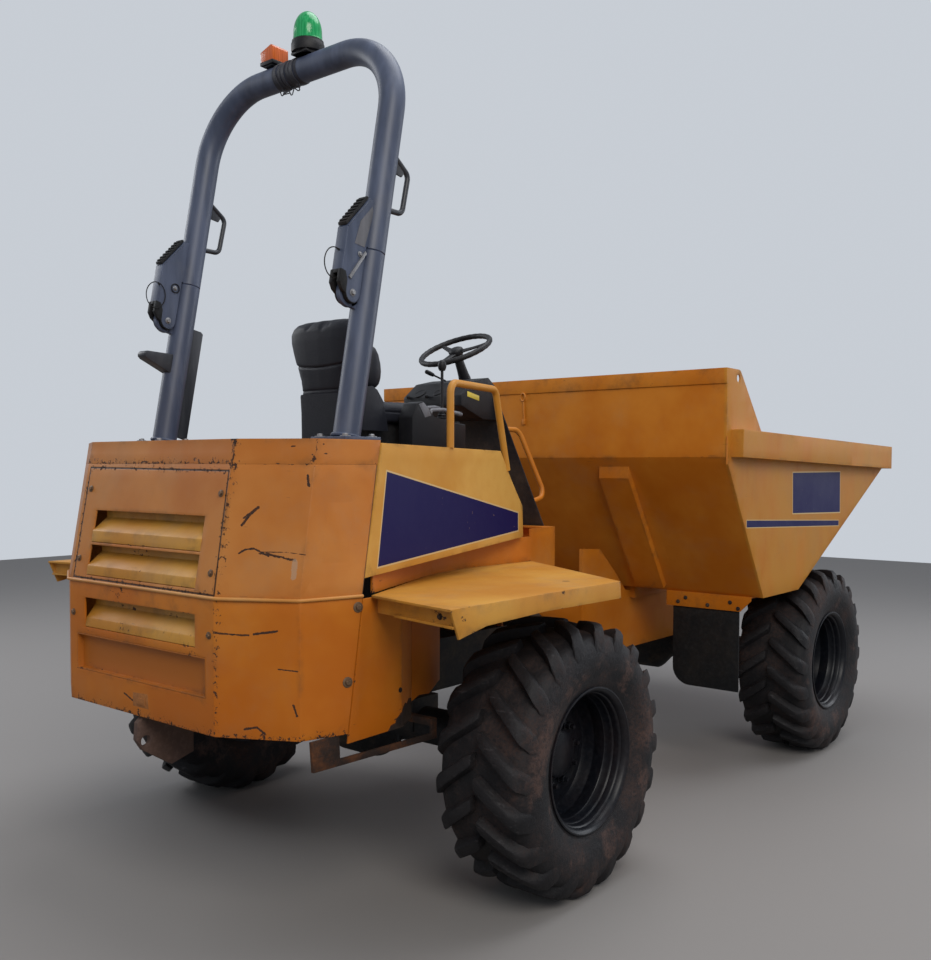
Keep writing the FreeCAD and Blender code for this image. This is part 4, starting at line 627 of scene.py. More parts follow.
def paint(name, base, wear=1.0, dust=0.2, edge=True, rough=0.5, decals=(), scuffs=(), scratches=(), seams=(),
          scrapes=(), chip_lines=(), side_colour=None, shine=0.32):
    """Old paint: cloudy colour, dust that settles, thin scratches, and chips that show dark primer and rust
    along the edges. decals, the printed marks and one deeper yellow patch that is partly painted shade, are
    (corners, across axis, colour, border, least distance from the middle plane), scratches and seams
    (start, end, half width), scuffs, scrapes and chip lines places where paint is gone."""
    finish = Finish(name)
    clouds = finish.noise(1.7, 4, 0.6)
    mottle = finish.noise(9.0, 5, 0.65)
    fine = finish.noise(140.0, 3, 0.6)
    ragged_line = finish.noise(90.0, 5, 0.7)
    deep = tuple(c * f for c, f in zip(base, (0.88, 0.76, 0.55)))
    pale = tuple(min(1, c * f + a) for c, f, a in zip(base, (1.06, 1.12, 1.25), (0.008, 0.008, 0.006)))
    colour = finish.mix(clouds.ramp(0.32, 0.68), deep, pale)
    colour = finish.mix(mottle.ramp(0.42, 0.75) * 0.28, colour, deep)
    # The skip's outer side faces take a paler, yellower colour, laid on in patches.
    if side_colour:
        side_patches = finish.noise(2.6, 5, 0.7, finish.stretched(1.5, 1.5, 0.6)).ramp(0.30, 0.62)
        colour = finish.mix(finish.y.size().ramp(1.115, 1.134) * (0.35 + side_patches * 0.65), colour, side_colour)
    settled = (finish.noise(3.1, 6, 0.7).ramp(0.45, 0.72) * dust).least(1)
    colour = finish.mix(settled, colour, DUST)
    for corners, axis, shade, border, outside in decals:
        across = {"x": finish.x, "y": finish.y}[axis]
        shown = finish.y.size().over(outside)
        if border:
            colour = finish.mix(inside(finish, corners, across, finish.z, border) * shown, colour, PALE_LINE)
        worn = inside(finish, corners, across, finish.z) * shown * (1 - finish.noise(60, 4, 0.7).over(0.72) * 0.5)
        colour = finish.mix(worn, colour, shade)
    streaks = finish.noise(1.0, 3, 0.6, finish.stretched(5, 5, 90))
    thin = finish.noise(1.0, 2, 0.5, finish.stretched(9, 9, 260, (3, 1, 2)))
    scratch = (streaks.over(0.715) * thin.over(0.56)) * (0.55 * wear)
    colour = finish.mix(scratch, colour, DARK_PRIMER)
    chips = finish.noise(34.0, 6, 0.75).over(0.745) * finish.noise(3.3, 3).over(0.58)
    if edge:
        far = finish.edge()
        ragged = finish.noise(46.0, 6, 0.72) * 0.030 + finish.noise(5.0, 3) * 0.020 - (0.0315 - 0.0045 * wear)
        chips = chips.most((ragged - far).over(0.0))
        grime = (0.020 - far).ramp(0.0, 0.02) * finish.noise(7.0, 5, 0.7).ramp(0.45, 0.7) * 0.45
        colour = finish.mix(grime, colour, (0.10, 0.05, 0.02))
    for (x, y, z), (long, deepness, high), strength in scuffs:
        near = (((finish.x - x) / long) ** 2 + ((finish.y - y) / deepness) ** 2 + ((finish.z - z) / high) ** 2)
        torn = finish.noise(38.0, 6, 0.7, finish.stretched(0.55, 0.55, 1.6)).over(0.60)
        chips = chips.most(torn * near.under(strength))
    for start, end, half in scratches:
        chips = chips.most((ragged_line * (2.6 * half) - finish.near(start, end) - 0.3 * half).over(0))
    for start, end, half in chip_lines:
        gone = finish.noise(60.0, 6, 0.75).ramp(0.50, 0.68) * half
        chips = chips.most((gone - finish.near(start, end)).over(0.0))
    rusty = finish.mix(finish.noise(70, 4, 0.7).ramp(0.35, 0.65), DARK_PRIMER, RUST)
    colour = finish.mix((chips * wear).least(1), colour, rusty)
    for start, end, half in scrapes:
        bare = (ragged_line * (2.4 * half) - finish.near(start, end)).over(0)
        colour = finish.mix(bare * 0.7, colour, (0.42, 0.27, 0.17))
    gaps = None
    for start, end, half in seams:
        gap = 1 - finish.near(start, end).ramp(half * 0.6, half * 1.5)
        gaps = gap if gaps is None else gaps.most(gap)
    if seams:
        colour = finish.mix(gaps * 0.92, colour, (0.022, 0.010, 0.006))
    finish.colour(colour)
    finish.set(Roughness=(mottle * 0.22 + chips * 0.35 + settled * 0.3 + (rough - 0.11)).least(1),
               Specular_IOR_Level=shine)
    height = fine * 0.12 - chips * 0.7 + mottle * 0.35 - scratch * 0.5
    finish.bump(height - gaps * 1.6 if seams else height, 0.0012, 0.45)
    return finish.material


def grubby(name, base, rough=0.6, dust=0.45, metal=0.0, dust_colour=DUST, scale=1.0, bump=0.5):
    """Dark or bare surfaces with dry dust that gathers in patches."""
    finish = Finish(name)
    cloud = finish.noise(2.6 * scale, 6, 0.7)
    speck = finish.noise(55.0 * scale, 5, 0.7)
    pale = tuple(min(1, c * 1.9 + 0.012) for c in base)
    colour = finish.mix(speck.ramp(0.4, 0.75) * 0.5, base, pale)
    share = (cloud.ramp(0.42, 0.75) * dust + speck.ramp(0.6, 0.8) * dust * 0.4).least(1)
    colour = finish.mix(share, colour, dust_colour)
    finish.colour(colour)
    finish.set(Roughness=(share * 0.35 + speck * 0.12 + (rough - 0.05)).least(1), Metallic=metal,
               Specular_IOR_Level=0.3)
    finish.bump(speck * 0.6 + cloud * 0.5, 0.002, bump)
    return finish.material


def tube_paint(name, base):
    """Satin slate paint of the roll bar: faint vertical wipes, pale nicks and grey dust."""
    finish = Finish(name)
    wipes = finish.noise(1.0, 4, 0.6, finish.stretched(14, 14, 1.8))
    nicks = finish.noise(60.0, 5, 0.75)
    pale = tuple(c * 1.5 + 0.012 for c in base)
    colour = finish.mix(wipes.ramp(0.35, 0.7), base, pale)
    colour = finish.mix(nicks.over(0.745) * finish.noise(4, 3).over(0.5), colour, (0.20, 0.19, 0.18))
    colour = finish.mix(finish.noise(5.5, 6, 0.7).ramp(0.5, 0.8) * 0.2, colour, (0.16, 0.15, 0.14))
    finish.colour(colour)
    finish.set(Roughness=wipes * 0.2 + 0.36)
    finish.bump(nicks * 0.4 + wipes * 0.3, 0.0008, 0.35)
    return finish.material


def tyre_rubber(name, middle_x):
    """Black rubber with brown dried mud, most of it between the lugs and near the bead, less on the lugs' tops."""
    finish = Finish(name)
    reach = ((finish.x - middle_x) ** 2 + (finish.z - AXLE_HEIGHT) ** 2) ** 0.5
    blotch = finish.noise(4.0, 6, 0.7)
    crumbs = finish.noise(70.0, 6, 0.72)
    crack = finish.noise(1.0, 5, 0.7, finish.stretched(26, 26, 26), 0.6)
    colour = finish.mix(blotch.ramp(0.35, 0.7), (0.0065, 0.0060, 0.0075), (0.017, 0.0150, 0.0165))
    sunk = 1 - reach.ramp(0.478, 0.520)
    mud = blotch.ramp(0.44, 0.66) * sunk * crumbs.ramp(0.34, 0.60)
    colour = finish.mix(mud * 0.55, colour, (0.080, 0.044, 0.034))
    patch = finish.noise(5.2, 6, 0.75).ramp(0.49, 0.63) * crumbs.ramp(0.30, 0.55)
    shoulder = reach.ramp(0.295, 0.32) * (1 - reach.ramp(0.41, 0.47)) * patch
    colour = finish.mix(shoulder * 0.55, colour, (0.125, 0.068, 0.052))
    scuffed = finish.noise(1.0, 4, 0.7, finish.stretched(60, 6, 60)).ramp(0.56, 0.72) * (1 - sunk) * 0.5
    colour = finish.mix(scuffed, colour, (0.075, 0.068, 0.072))
    finish.colour(colour)
    finish.set(Roughness=(mud * 0.3 + blotch * 0.2 + 0.52).least(1), Specular_IOR_Level=0.34)
    finish.bump(crumbs * 1.0 + crack * 0.6 + blotch * 0.6, 0.004, 0.75)
    return finish.material


def grained(name, base, rough=0.5, grain=260.0, depth=0.0006, dust=0.15):
    """Moulded plastic or vinyl with a pebbled grain and light dust."""
    finish = Finish(name)
    pebbles = finish.cells(grain)
    cloud = finish.noise(5.0, 5, 0.7)
    colour = finish.mix(pebbles.ramp(0.1, 0.7) * 0.5, base, tuple(c * 1.5 + 0.006 for c in base))
    colour = finish.mix(cloud.ramp(0.48, 0.78) * dust, colour, (0.22, 0.20, 0.18))
    finish.colour(colour)
    finish.set(Roughness=cloud * 0.18 + (rough - 0.09), Specular_IOR_Level=0.32)
    finish.bump(pebbles * 1.0 + cloud * 0.2, depth, 0.6)
    return finish.material


def polished(name):
    """A ram's chromed rod with faint rings of oil."""
    finish = Finish(name)
    rings = finish.noise(1.0, 3, 0.5, finish.stretched(90, 6, 6))
    finish.colour(finish.mix(rings.ramp(0.4, 0.7) * 0.5, (0.55, 0.56, 0.58), (0.30, 0.28, 0.25)))
    finish.set(Metallic=1.0, Roughness=rings * 0.2 + 0.12)
    finish.bump(rings, 0.0003, 0.2)
    return finish.material


def lens(name, base, glow=0.0):
    """A moulded lamp lens with upright ribs inside."""
    finish = Finish(name)
    ribs = (finish.noise(1.0, 2, 0.5, finish.stretched(160, 160, 8))).ramp(0.3, 0.7)
    colour = finish.mix(ribs * 0.5, base, tuple(min(1, c * 1.8 + 0.04) for c in base))
    finish.colour(colour)
    finish.set(Roughness=ribs * 0.1 + 0.12, Emission_Strength=glow, Emission_Color=colour)
    finish.bump(ribs, 0.001, 0.3)
    return finish.material


def on(reach, y, z):
    """A point from its distance ahead of the rear axle."""
    return ahead(reach), y, z


def run_of(points, half):
    """Strokes along a line of points."""
    return [(on(*p), on(*q), half) for p, q in zip(points, points[1:])]


# Base yellows. The upper tail and top cap are paler than the lower body, partly from dust and partly as painted sky
# sheen on the high surfaces; the side panels are yellower from newer paint and painted sky sheen; the fenders are paler
# from dust and painted sheen. The body and skip yellows are the deeper paint below.
TAIL_YELLOW_DUST_AND_SHEEN = (0.50, 0.178, 0.030)
BODY_YELLOW = (0.53, 0.158, 0.006)
PANEL_YELLOW_AND_SHEEN = (0.60, 0.320, 0.066)
FENDER_YELLOW_DUST_AND_SHEEN = (0.55, 0.255, 0.032)
SKIP_YELLOW = (0.51, 0.165, 0.010)
PANEL_DECAL = [(ahead(-0.660), 1.631), (ahead(0.458), 1.438), (ahead(0.459), 1.359), (ahead(-0.720), 1.297)]
SKIP_DECAL = [(ahead(2.132), 1.622), (ahead(2.886), 1.624), (ahead(2.896), 1.382), (ahead(2.140), 1.400)]
SKIP_STRIPE = [(ahead(1.530), 1.384), (ahead(2.877), 1.331), (ahead(2.877), 1.301), (ahead(1.530), 1.349)]
DOOR = [(-1.1127, 0.430, 1.641), (-1.1145, -0.441, 1.633), (-1.1905, -0.455, 1.216), (-1.1905, 0.432, 1.218),
        (-1.1127, 0.430, 1.641)]
upper_scratches = (
    run_of([(-1.1170, -0.5116, 1.4517), (-1.1000, -0.533, 1.489), (-1.0828, -0.5552, 1.511)], 0.0048)
    + run_of([(-1.1114, -0.5137, 1.4751), (-1.0860, -0.5498, 1.5089)], 0.0030)
    + run_of([(-1.1328, -0.5150, 1.3582), (-1.1200, -0.535, 1.371), (-1.1064, -0.5589, 1.3747),
              (-1.0843, -0.6074, 1.3507)], 0.0034)
    + run_of([(-1.1042, -0.5710, 1.3599), (-1.0700, -0.631, 1.352), (-1.0445, -0.6804, 1.3391)], 0.0030)
    + run_of([(-1.0977, -0.5786, 1.3636), (-1.0500, -0.662, 1.364), (-1.0219, -0.7191, 1.3567)], 0.0016)
    + run_of([(-1.0850, -0.6000, 1.3590), (-1.0600, -0.644, 1.344), (-1.0417, -0.6898, 1.3391)], 0.0040)
    + run_of([(-0.9887, -0.6950, 1.6174), (-0.9905, -0.7027, 1.5846)], 0.0046)
    + run_of([(-0.9900, -0.7450, 1.3640), (-0.9500, -0.7560, 1.3800)], 0.0016))
lower_scratches = (
    run_of([(-1.1906, -0.4594, 1.0915), (-1.1449, -0.5436, 1.0871), (-1.1330, -0.5640, 1.0880)], 0.0030)
    + run_of([(-1.1252, -0.5798, 1.0922), (-1.0960, -0.634, 1.101), (-1.0860, -0.6521, 1.1049)], 0.0040)
    + run_of([(-1.0844, -0.6549, 0.9780), (-1.0523, -0.7141, 0.9732)], 0.0022)
    + run_of([(-1.0593, -0.7012, 0.8595), (-1.0536, -0.7118, 0.8247)], 0.0038)
    + run_of([(-1.1400, -0.5500, 0.7720), (-1.1200, -0.590, 0.780), (-1.1080, -0.6120, 0.7610)], 0.0040)
    + run_of([(-1.1930, 0.0850, 0.8100), (-1.1930, 0.0248, 0.7900), (-1.1930, -0.0680, 0.7780)], 0.0032))
cap_scratches = (
    run_of([(-1.0035, -0.6330, 1.7154), (-0.9600, -0.690, 1.719), (-0.9336, -0.7152, 1.7235)], 0.0026)
    + run_of([(-0.9728, -0.7007, 1.6880), (-0.9234, -0.7183, 1.6921)], 0.0022))
corner_line = run_of([(-1.094, -0.451, 1.742), (-1.110, -0.452, 1.656), (-1.193, -0.464, 1.207)], 0.0285)
low_corner_line = run_of([(-1.193, -0.464, 1.203), (-1.193, -0.464, 0.742)], 0.0210)
bottom_line = run_of([(-1.048, 0.722, 0.742), (-1.193, 0.464, 0.742), (-1.193, -0.464, 0.742), (-1.048, -0.722, 0.742),
                      (-0.880, -0.772, 0.742)], 0.0270)
cap_line = run_of([(-1.110, 0.452, 1.660), (-1.110, -0.452, 1.660)], 0.0240)
door_line = run_of(DOOR, 0.0190)
panel_seam = run_of([(-0.716, -0.752, 1.656), (-0.822, -0.785, 1.207)], 0.0030)
tail_paint = paint("tail_paint", TAIL_YELLOW_DUST_AND_SHEEN, scratches=upper_scratches, seams=run_of(DOOR, 0.0032) + panel_seam,
                   scrapes=run_of([(-1.0445, -0.6929, 1.3330), (-1.0470, -0.6910, 1.2800)], 0.008),
                   chip_lines=corner_line[1:] + door_line)
cap_paint = paint("cap_paint", TAIL_YELLOW_DUST_AND_SHEEN, scratches=cap_scratches, chip_lines=corner_line[:1] + cap_line)
body_paint = paint("body_paint", BODY_YELLOW, scratches=lower_scratches,
                   chip_lines=low_corner_line + bottom_line, dust=0.12,
                   scuffs=((on(-0.560, -0.757, 0.735), (0.085, 0.06, 0.055), 1.0),))
# A deeper yellow over the recessed lower panel: near the body's own yellow, darkened further as painted shade in the
# recess.
RECESS_YELLOW_AND_SHADE = ([(-0.46, 1.020), (0.46, 1.020), (0.46, 0.780), (-0.46, 0.780)], "y", (0.40, 0.118, 0.010), 0, -1)
grille_paint = paint("grille_paint", FENDER_YELLOW_DUST_AND_SHEEN, dust=0.3, decals=[RECESS_YELLOW_AND_SHADE])
# Darker copy of the body yellow for the wheel-arch sheets: painted shade from the tyre and fender.
shaded_arch_paint = paint("shaded_arch_paint", (0.46, 0.130, 0.006), edge=False, dust=0.05)
plain_paint = paint("plain_body_paint", FENDER_YELLOW_DUST_AND_SHEEN, edge=False)
rail_paint = paint("rail_paint", (0.56, 0.25, 0.06), edge=False)
fender_paint = paint("fender_paint", FENDER_YELLOW_DUST_AND_SHEEN, dust=0.28,
                     scuffs=((on(-0.826, -1.13, 1.165), (0.05, 0.11, 0.035), 1.0),))
panel_paint = paint("side_panel_paint", PANEL_YELLOW_AND_SHEEN, wear=0.4, dust=0.08, shine=0.12,
                    decals=((PANEL_DECAL, "x", NAVY, 0.006, 0.0),))
skip_paint = paint("skip_paint", SKIP_YELLOW, wear=0.55, dust=0.16, rough=0.55, shine=0.15, side_colour=(0.50, 0.215, 0.026),
                   decals=((SKIP_DECAL, "x", NAVY, 0.006, 1.134), (SKIP_STRIPE, "x", NAVY, 0.004, 1.134)))
small_skip_paint = paint("small_skip_paint", SKIP_YELLOW, edge=False)
chassis_black = grubby("chassis_black", (0.009, 0.009, 0.010), 0.62, 0.32)
rim_black = grubby("rim_black", (0.0035, 0.0045, 0.0075), 0.36, 0.22, dust_colour=(0.050, 0.022, 0.014), bump=0.3)
slate = tube_paint("roll_bar_slate", (0.042, 0.054, 0.092))
black_tube = tube_paint("black_tube", (0.016, 0.018, 0.024))
rear_rubber = tyre_rubber("rear_tyre_rubber", REAR_AXLE)
front_rubber = tyre_rubber("front_tyre_rubber", REAR_AXLE + WHEELBASE)
flap_rubber = grubby("flap_rubber", (0.0035, 0.004, 0.005), 0.62, 0.05)
vinyl = grained("seat_vinyl", (0.007, 0.0078, 0.013), 0.52, 330.0, dust=0.05)
plastic = grained("black_plastic", (0.006, 0.006, 0.0078), 0.50, 420.0, dust=0.08)
shield_black = grubby("shield_black", (0.012, 0.012, 0.015), 0.45, 0.18)
iron = grubby("engine_iron", (0.03, 0.03, 0.032), 0.6, 0.3)
rusty = grubby("rusty_steel", (0.085, 0.052, 0.042), 0.8, 0.5, dust_colour=(0.16, 0.09, 0.06))
rod_chrome = polished("rod_chrome")
bolt_steel = grubby("bolt_steel", (0.16, 0.10, 0.06), 0.5, 0.4, 0.6, (0.20, 0.09, 0.04), 3.0)
green = lens("green_lens", (0.0, 0.23, 0.062), 0.05)
amber = lens("amber_lens", (0.46, 0.090, 0.014))
worn_grey = tube_paint("worn_grey", (0.105, 0.105, 0.118))
zinc = grubby("dull_zinc", (0.26, 0.26, 0.27), 0.42, 0.3, 0.7, (0.10, 0.075, 0.06), 3.0)
tape_grey = grubby("tape_grey", (0.026, 0.027, 0.036), 0.5, 0.25, dust_colour=(0.06, 0.055, 0.06))
step_rust = grubby("step_rust", (0.022, 0.013, 0.010), 0.8, 0.6, dust_colour=(0.22, 0.075, 0.022), scale=3.0)
# Near-black that paints the shade inside holes, on the torn flank hole; also used on the small dark bolt heads.
hole_shade_black = grubby("hole_shade_black", (0.012, 0.007, 0.006), 0.7, 0.2)
patch_paint = grubby("patch_paint", (0.34, 0.125, 0.030), 0.65, 0.75, dust_colour=(0.13, 0.06, 0.03))
plate_yellow = tube_paint("plate_yellow", (0.55, 0.42, 0.05))

NODE_FINISH = {
    "front_frame": small_skip_paint, "shield_rail": small_skip_paint, "body_tub": plain_paint,
    "flank_panels": plain_paint, "rear_frame": chassis_black, "rear_axle_casing": chassis_black,
    "front_axle_casing": chassis_black, "pivot_yoke": chassis_black, "steer_barrel": chassis_black,
    "tip_barrels": chassis_black, "engine": iron, "steer_rod": rod_chrome, "tip_rods": rod_chrome,
    "hitch": rusty, "mud_flaps": flap_rubber, "leg_shield": shield_black, "dash_console": plastic,
    "lever_console": plastic, "steering_column": plastic, "seat_base": chassis_black, "side_lamp": amber,
    "beacon": green, "rops_handles": black_tube, "rops_lower": slate, "rops_hoop": slate,
    "steering_wheel": plastic, "seat_cushion": vinyl, "seat_back": vinyl, "grab_rail_right": plain_paint,
    "skip_brackets": small_skip_paint, "step_bracket": rusty, "side_panel_left": plain_paint, "side_panel_right": plain_paint,
}
for name, material in NODE_FINISH.items():
    mesh = nodes[name].data
    mesh.materials.clear()
    mesh.materials.append(material)


# Sheet metal of the body and the skip

for name, material in (("tail_lower", body_paint), ("tail_upper", tail_paint), ("top_cap", cap_paint),
                       ("rear_grilles", grille_paint), ("flank_panels", body_paint), ("body_tub", body_paint),
                       ("side_panel_left", panel_paint), ("fender_right", fender_paint),
                       ("fender_left", fender_paint)):
    dressed(name, material, 0.0025)
dressed("side_panel_right", panel_paint, 0.003)
for name in ("skip", "skip_brackets", "front_frame"):
    dressed(name, skip_paint, 0.0025, 0.08)


# Roll bar: its pieces are drawn along the leg, before or behind its axis, and leaned forward

LEAN = math.radians(10.78)
LEG_FOOT = ahead(-0.717)
LEAN_BASE = 1.600
LEG_HALF = 0.567
BAR_RADIUS = 0.0508
BAR_TOP = 3.290
BAR_BEND = 0.305
DECK = 1.742
LEG_ACROSS = Vector((math.cos(LEAN), 0, -math.sin(LEAN)))
LEG_ALONG = Vector((math.sin(LEAN), 0, math.cos(LEAN)))
FOLD = (-0.0899, 0.6700)
SEAM = 0.8520
WEB = FOLD[0] - 0.068


def up_leg(height):
    return (height - LEAN_BASE) / math.cos(LEAN)


def by_leg(before, y, along):
    return tuple(Vector((LEG_FOOT, y, LEAN_BASE)) + LEG_ACROSS * before + LEG_ALONG * along)


def leg_slab(heap, outline, low, high, bevel=0.002):
    heap.slab(outline, high - low, (LEG_FOOT, high, LEAN_BASE), LEG_ACROSS, LEG_ALONG, bevel)


def lower_legs():
    steel = Heap()
    black = Heap()
    bolts = Heap()
    foot = up_leg(DECK)
    middle_x = LEG_FOOT + math.tan(LEAN) * (DECK - LEAN_BASE)
    for side in (-1, 1):
        y = side * LEG_HALF
        r = BAR_RADIUS
        steel.tube([by_leg(0, y, s) for s in (foot + 0.012, SEAM - 0.1, SEAM - 0.003, SEAM)], [r, r, r, r - 0.003], 48)
        steel.tube([by_leg(0.052 * math.cos(t), y + 0.052 * math.sin(t), foot + 0.015) for t in
                    np.linspace(0, 2 * math.pi, 32, endpoint=False)], 0.007, 8, True)
        leg_slab(steel, [(-0.02, SEAM - 0.23), (FOLD[0] + 0.02, FOLD[1] - 0.046), FOLD, (FOLD[0] - 0.008, FOLD[1] + 0.04),
                         (FOLD[0] - 0.008, SEAM - 0.022), (-0.02, SEAM - 0.012)], y - 0.010, y + 0.010)
        steel.spun([(-0.010, 0), (-0.010, 0.048), (-0.008, 0.050), (0.008, 0.050), (0.010, 0.048), (0.010, 0)],
                   by_leg(FOLD[0], y, FOLD[1]), (0, 1, 0), 40)
        steel.box((middle_x - 0.09, y - 0.09, DECK), (middle_x + 0.09, y + 0.09, DECK + 0.014), 0.003)
        for u in (-0.066, 0.066):
            for v in (-0.066, 0.066):
                bolts.bolt((middle_x + u, y + v, DECK + 0.014), (0, 0, 1), 0.011)
        for out in (-1, 1):
            bolts.bolt(by_leg(FOLD[0], y + out * 0.0255, FOLD[1]), (0, out, 0), 0.0100, 1.35)
    leg_slab(black, [(-0.03, up_leg(2.040)), (-0.162, up_leg(2.074)), (-0.174, up_leg(2.082)), (-0.177, up_leg(2.096)),
                     (-0.168, up_leg(2.107)), (-0.03, up_leg(2.127))], LEG_HALF - 0.030, LEG_HALF + 0.030, 0.006)
    leg_slab(black, [(0.046, up_leg(1.785)), (0.104, up_leg(1.780)), (0.104, up_leg(2.255)), (0.092, up_leg(2.263)),
                     (0.046, up_leg(2.263))], LEG_HALF - 0.012, LEG_HALF + 0.004, 0.0015)
    steel.made("roll_bar_legs", "rops_lower", "roll_bar_paint", slate, replaced=("rops_lower",))
    black.made("left_leg_plates", "rops_lower", "chassis_paint", black_tube)
    bolts.made("roll_bar_bolts", "rops_lower", "ram_steel", zinc)


def hoop():
    steel = Heap()
    black = Heap()
    bright = Heap()
    pale = Heap()
    start = SEAM + 0.0003
    top = up_leg(BAR_TOP)
    track = rounded_path([(0, -LEG_HALF, start), (0, -LEG_HALF, top), (0, LEG_HALF, top), (0, LEG_HALF, start)],
                         BAR_BEND, 20)
    ends = [(0, -LEG_HALF, start + 0.003), (0, LEG_HALF, start + 0.003)]
    track = np.vstack([track[:1], ends[:1], track[1:-1], ends[1:], track[-1:]])
    radii = np.full(len(track), BAR_RADIUS)
    radii[[0, -1]] -= 0.003
    steel.tube([by_leg(*p) for p in track], radii, 48)
    front = FOLD[0] + 0.036
    slope = Vector((-0.066 - WEB, 0.141))
    out = Vector((-slope.y, slope.x)).normalized()
    for side in (-1, 1):
        y = side * LEG_HALF
        cheek = ([(front, SEAM + 0.006), (-0.02, SEAM + 0.006), (-0.02, SEAM + 0.19), (-0.06, SEAM + 0.18),
                  (WEB + 0.008, SEAM + 0.045), (WEB + 0.008, FOLD[1] + 0.065)] + arc(FOLD, 0.036, 180, 360))
        for low, high in ((0.015, 0.025), (-0.025, -0.015)):
            leg_slab(steel, cheek, y + low, y + high, 0.0015)
        leg_slab(steel, [(WEB, FOLD[1] + 0.065), (WEB + 0.008, FOLD[1] + 0.065), (WEB + 0.008, SEAM + 0.045),
                         (WEB, SEAM + 0.045)], y - 0.025, y + 0.025)
        leg_slab(steel, [(WEB, SEAM + 0.045), (WEB + 0.008, SEAM + 0.045), (-0.06, SEAM + 0.18),
                         (-0.066, SEAM + 0.186)], y - 0.025, y + 0.025)
        foot = Vector((WEB, SEAM + 0.050))
        strip = [foot, foot + slope * 0.96, foot + slope * 0.94 + out * 0.010, foot + slope * 0.03 + out * 0.010]
        leg_slab(black, [tuple(p) for p in strip], y - 0.022, y + 0.022, 0.0015)
        for i in range(7):
            spot = foot + slope * (0.08 + 0.12 * i) + out * 0.008
            rib = [spot, spot + slope * 0.05, spot + slope * 0.05 + out * 0.006, spot + out * 0.006]
            leg_slab(black, [tuple(p) for p in rib], y - 0.019, y + 0.019, 0.001)
        cap = arc(FOLD, 0.0385, 165, 300) + arc(FOLD, 0.0355, 300, 165)
        cover = [(WEB - 0.004, FOLD[1] + 0.020), (WEB + 0.012, FOLD[1] - 0.002), (WEB + 0.034, FOLD[1] - 0.014),
                 (WEB + 0.034, FOLD[1] + 0.036), (WEB + 0.020, FOLD[1] + 0.066), (WEB - 0.004, FOLD[1] + 0.068)]
        for low, high in ((0.0115, 0.0285), (-0.0285, -0.0115)):
            leg_slab(black, cap, y + low, y + high, 0.001)
            leg_slab(black, cover, y + low, y + high, 0.003)
        leg_slab(black, [(WEB - 0.004, FOLD[1] + 0.054), (WEB + 0.010, FOLD[1] + 0.054), (WEB + 0.010, FOLD[1] + 0.067),
                         (WEB - 0.004, FOLD[1] + 0.067)], y - 0.012, y + 0.012, 0.001)
        latch = [(-0.060, SEAM - 0.016), (-0.052, SEAM - 0.024), (-0.112, SEAM - 0.138), (-0.122, SEAM - 0.132)]
        sides = (side * 0.0255, side * 0.0325)
        leg_slab(bright, latch, y + min(sides), y + max(sides), 0.001)
        for face in (-1, 1):
            bright.bolt(by_leg(-0.080, y + face * 0.0255, SEAM - 0.034), (0, face, 0), 0.0075, 1.4)
            if side > 0:
                black.tube([by_leg(-0.080 + 0.019 * math.cos(t), y + face * 0.0275, SEAM - 0.034 + 0.019 * math.sin(t))
                            for t in np.linspace(0, 2 * math.pi, 28, endpoint=False)], 0.0024, 8, True)
        loop_y = y - 0.036 if side > 0 else y
        ring = [by_leg(WEB - 0.016 + 0.046 * math.cos(t), loop_y, SEAM - 0.095 + 0.055 * math.sin(t))
                for t in np.linspace(0, 2 * math.pi, 40, endpoint=False)]
        black.tube(ring, 0.0022, 8, True)
        black.tube([by_leg(WEB + 0.030, y, SEAM - 0.042), by_leg(WEB + 0.004, (y + loop_y) / 2, SEAM - 0.042),
                    by_leg(WEB - 0.012, loop_y, SEAM - 0.042)], 0.004, 10)
    leg_slab(pale, [(-0.050, SEAM + 0.158), (-0.098, SEAM + 0.086), (-0.112, SEAM - 0.004), (-0.062, SEAM - 0.002),
                    (-0.040, SEAM + 0.138)], -LEG_HALF - 0.0262, -LEG_HALF - 0.0250, 0.0003)
    steel.made("roll_bar_hoop", "rops_hoop", "roll_bar_paint", slate, replaced=("rops_hoop",))
    black.made("hinge_rubbers", "rops_hoop", "rubber", flap_rubber)
    bright.made("hinge_latches", "rops_hoop", "ram_steel", zinc)
    pale.made("reflector_plate", "rops_hoop", "roll_bar_paint", worn_grey)


def hoop_handles():
    heap = Heap()
    for side in (-1, 1):
        y = side * LEG_HALF
        corners = [(0.04, y, up_leg(2.836)), (0.134, y, up_leg(2.792)), (0.128, y, up_leg(2.638)), (0.04, y, up_leg(2.622))]
        heap.tube([by_leg(*p) for p in rounded_path(corners, 0.030, 8)], 0.0105, 20)
        leg_slab(heap, [(0.046, up_leg(2.770)), (0.100, up_leg(2.772)), (0.108, up_leg(2.790)), (0.100, up_leg(2.806)),
                        (0.046, up_leg(2.838))], y - 0.004, y + 0.004, 0.001)
    heap.made("hoop_handles_dressed", "rops_handles", "roll_bar_paint", black_tube, replaced=("rops_handles",))


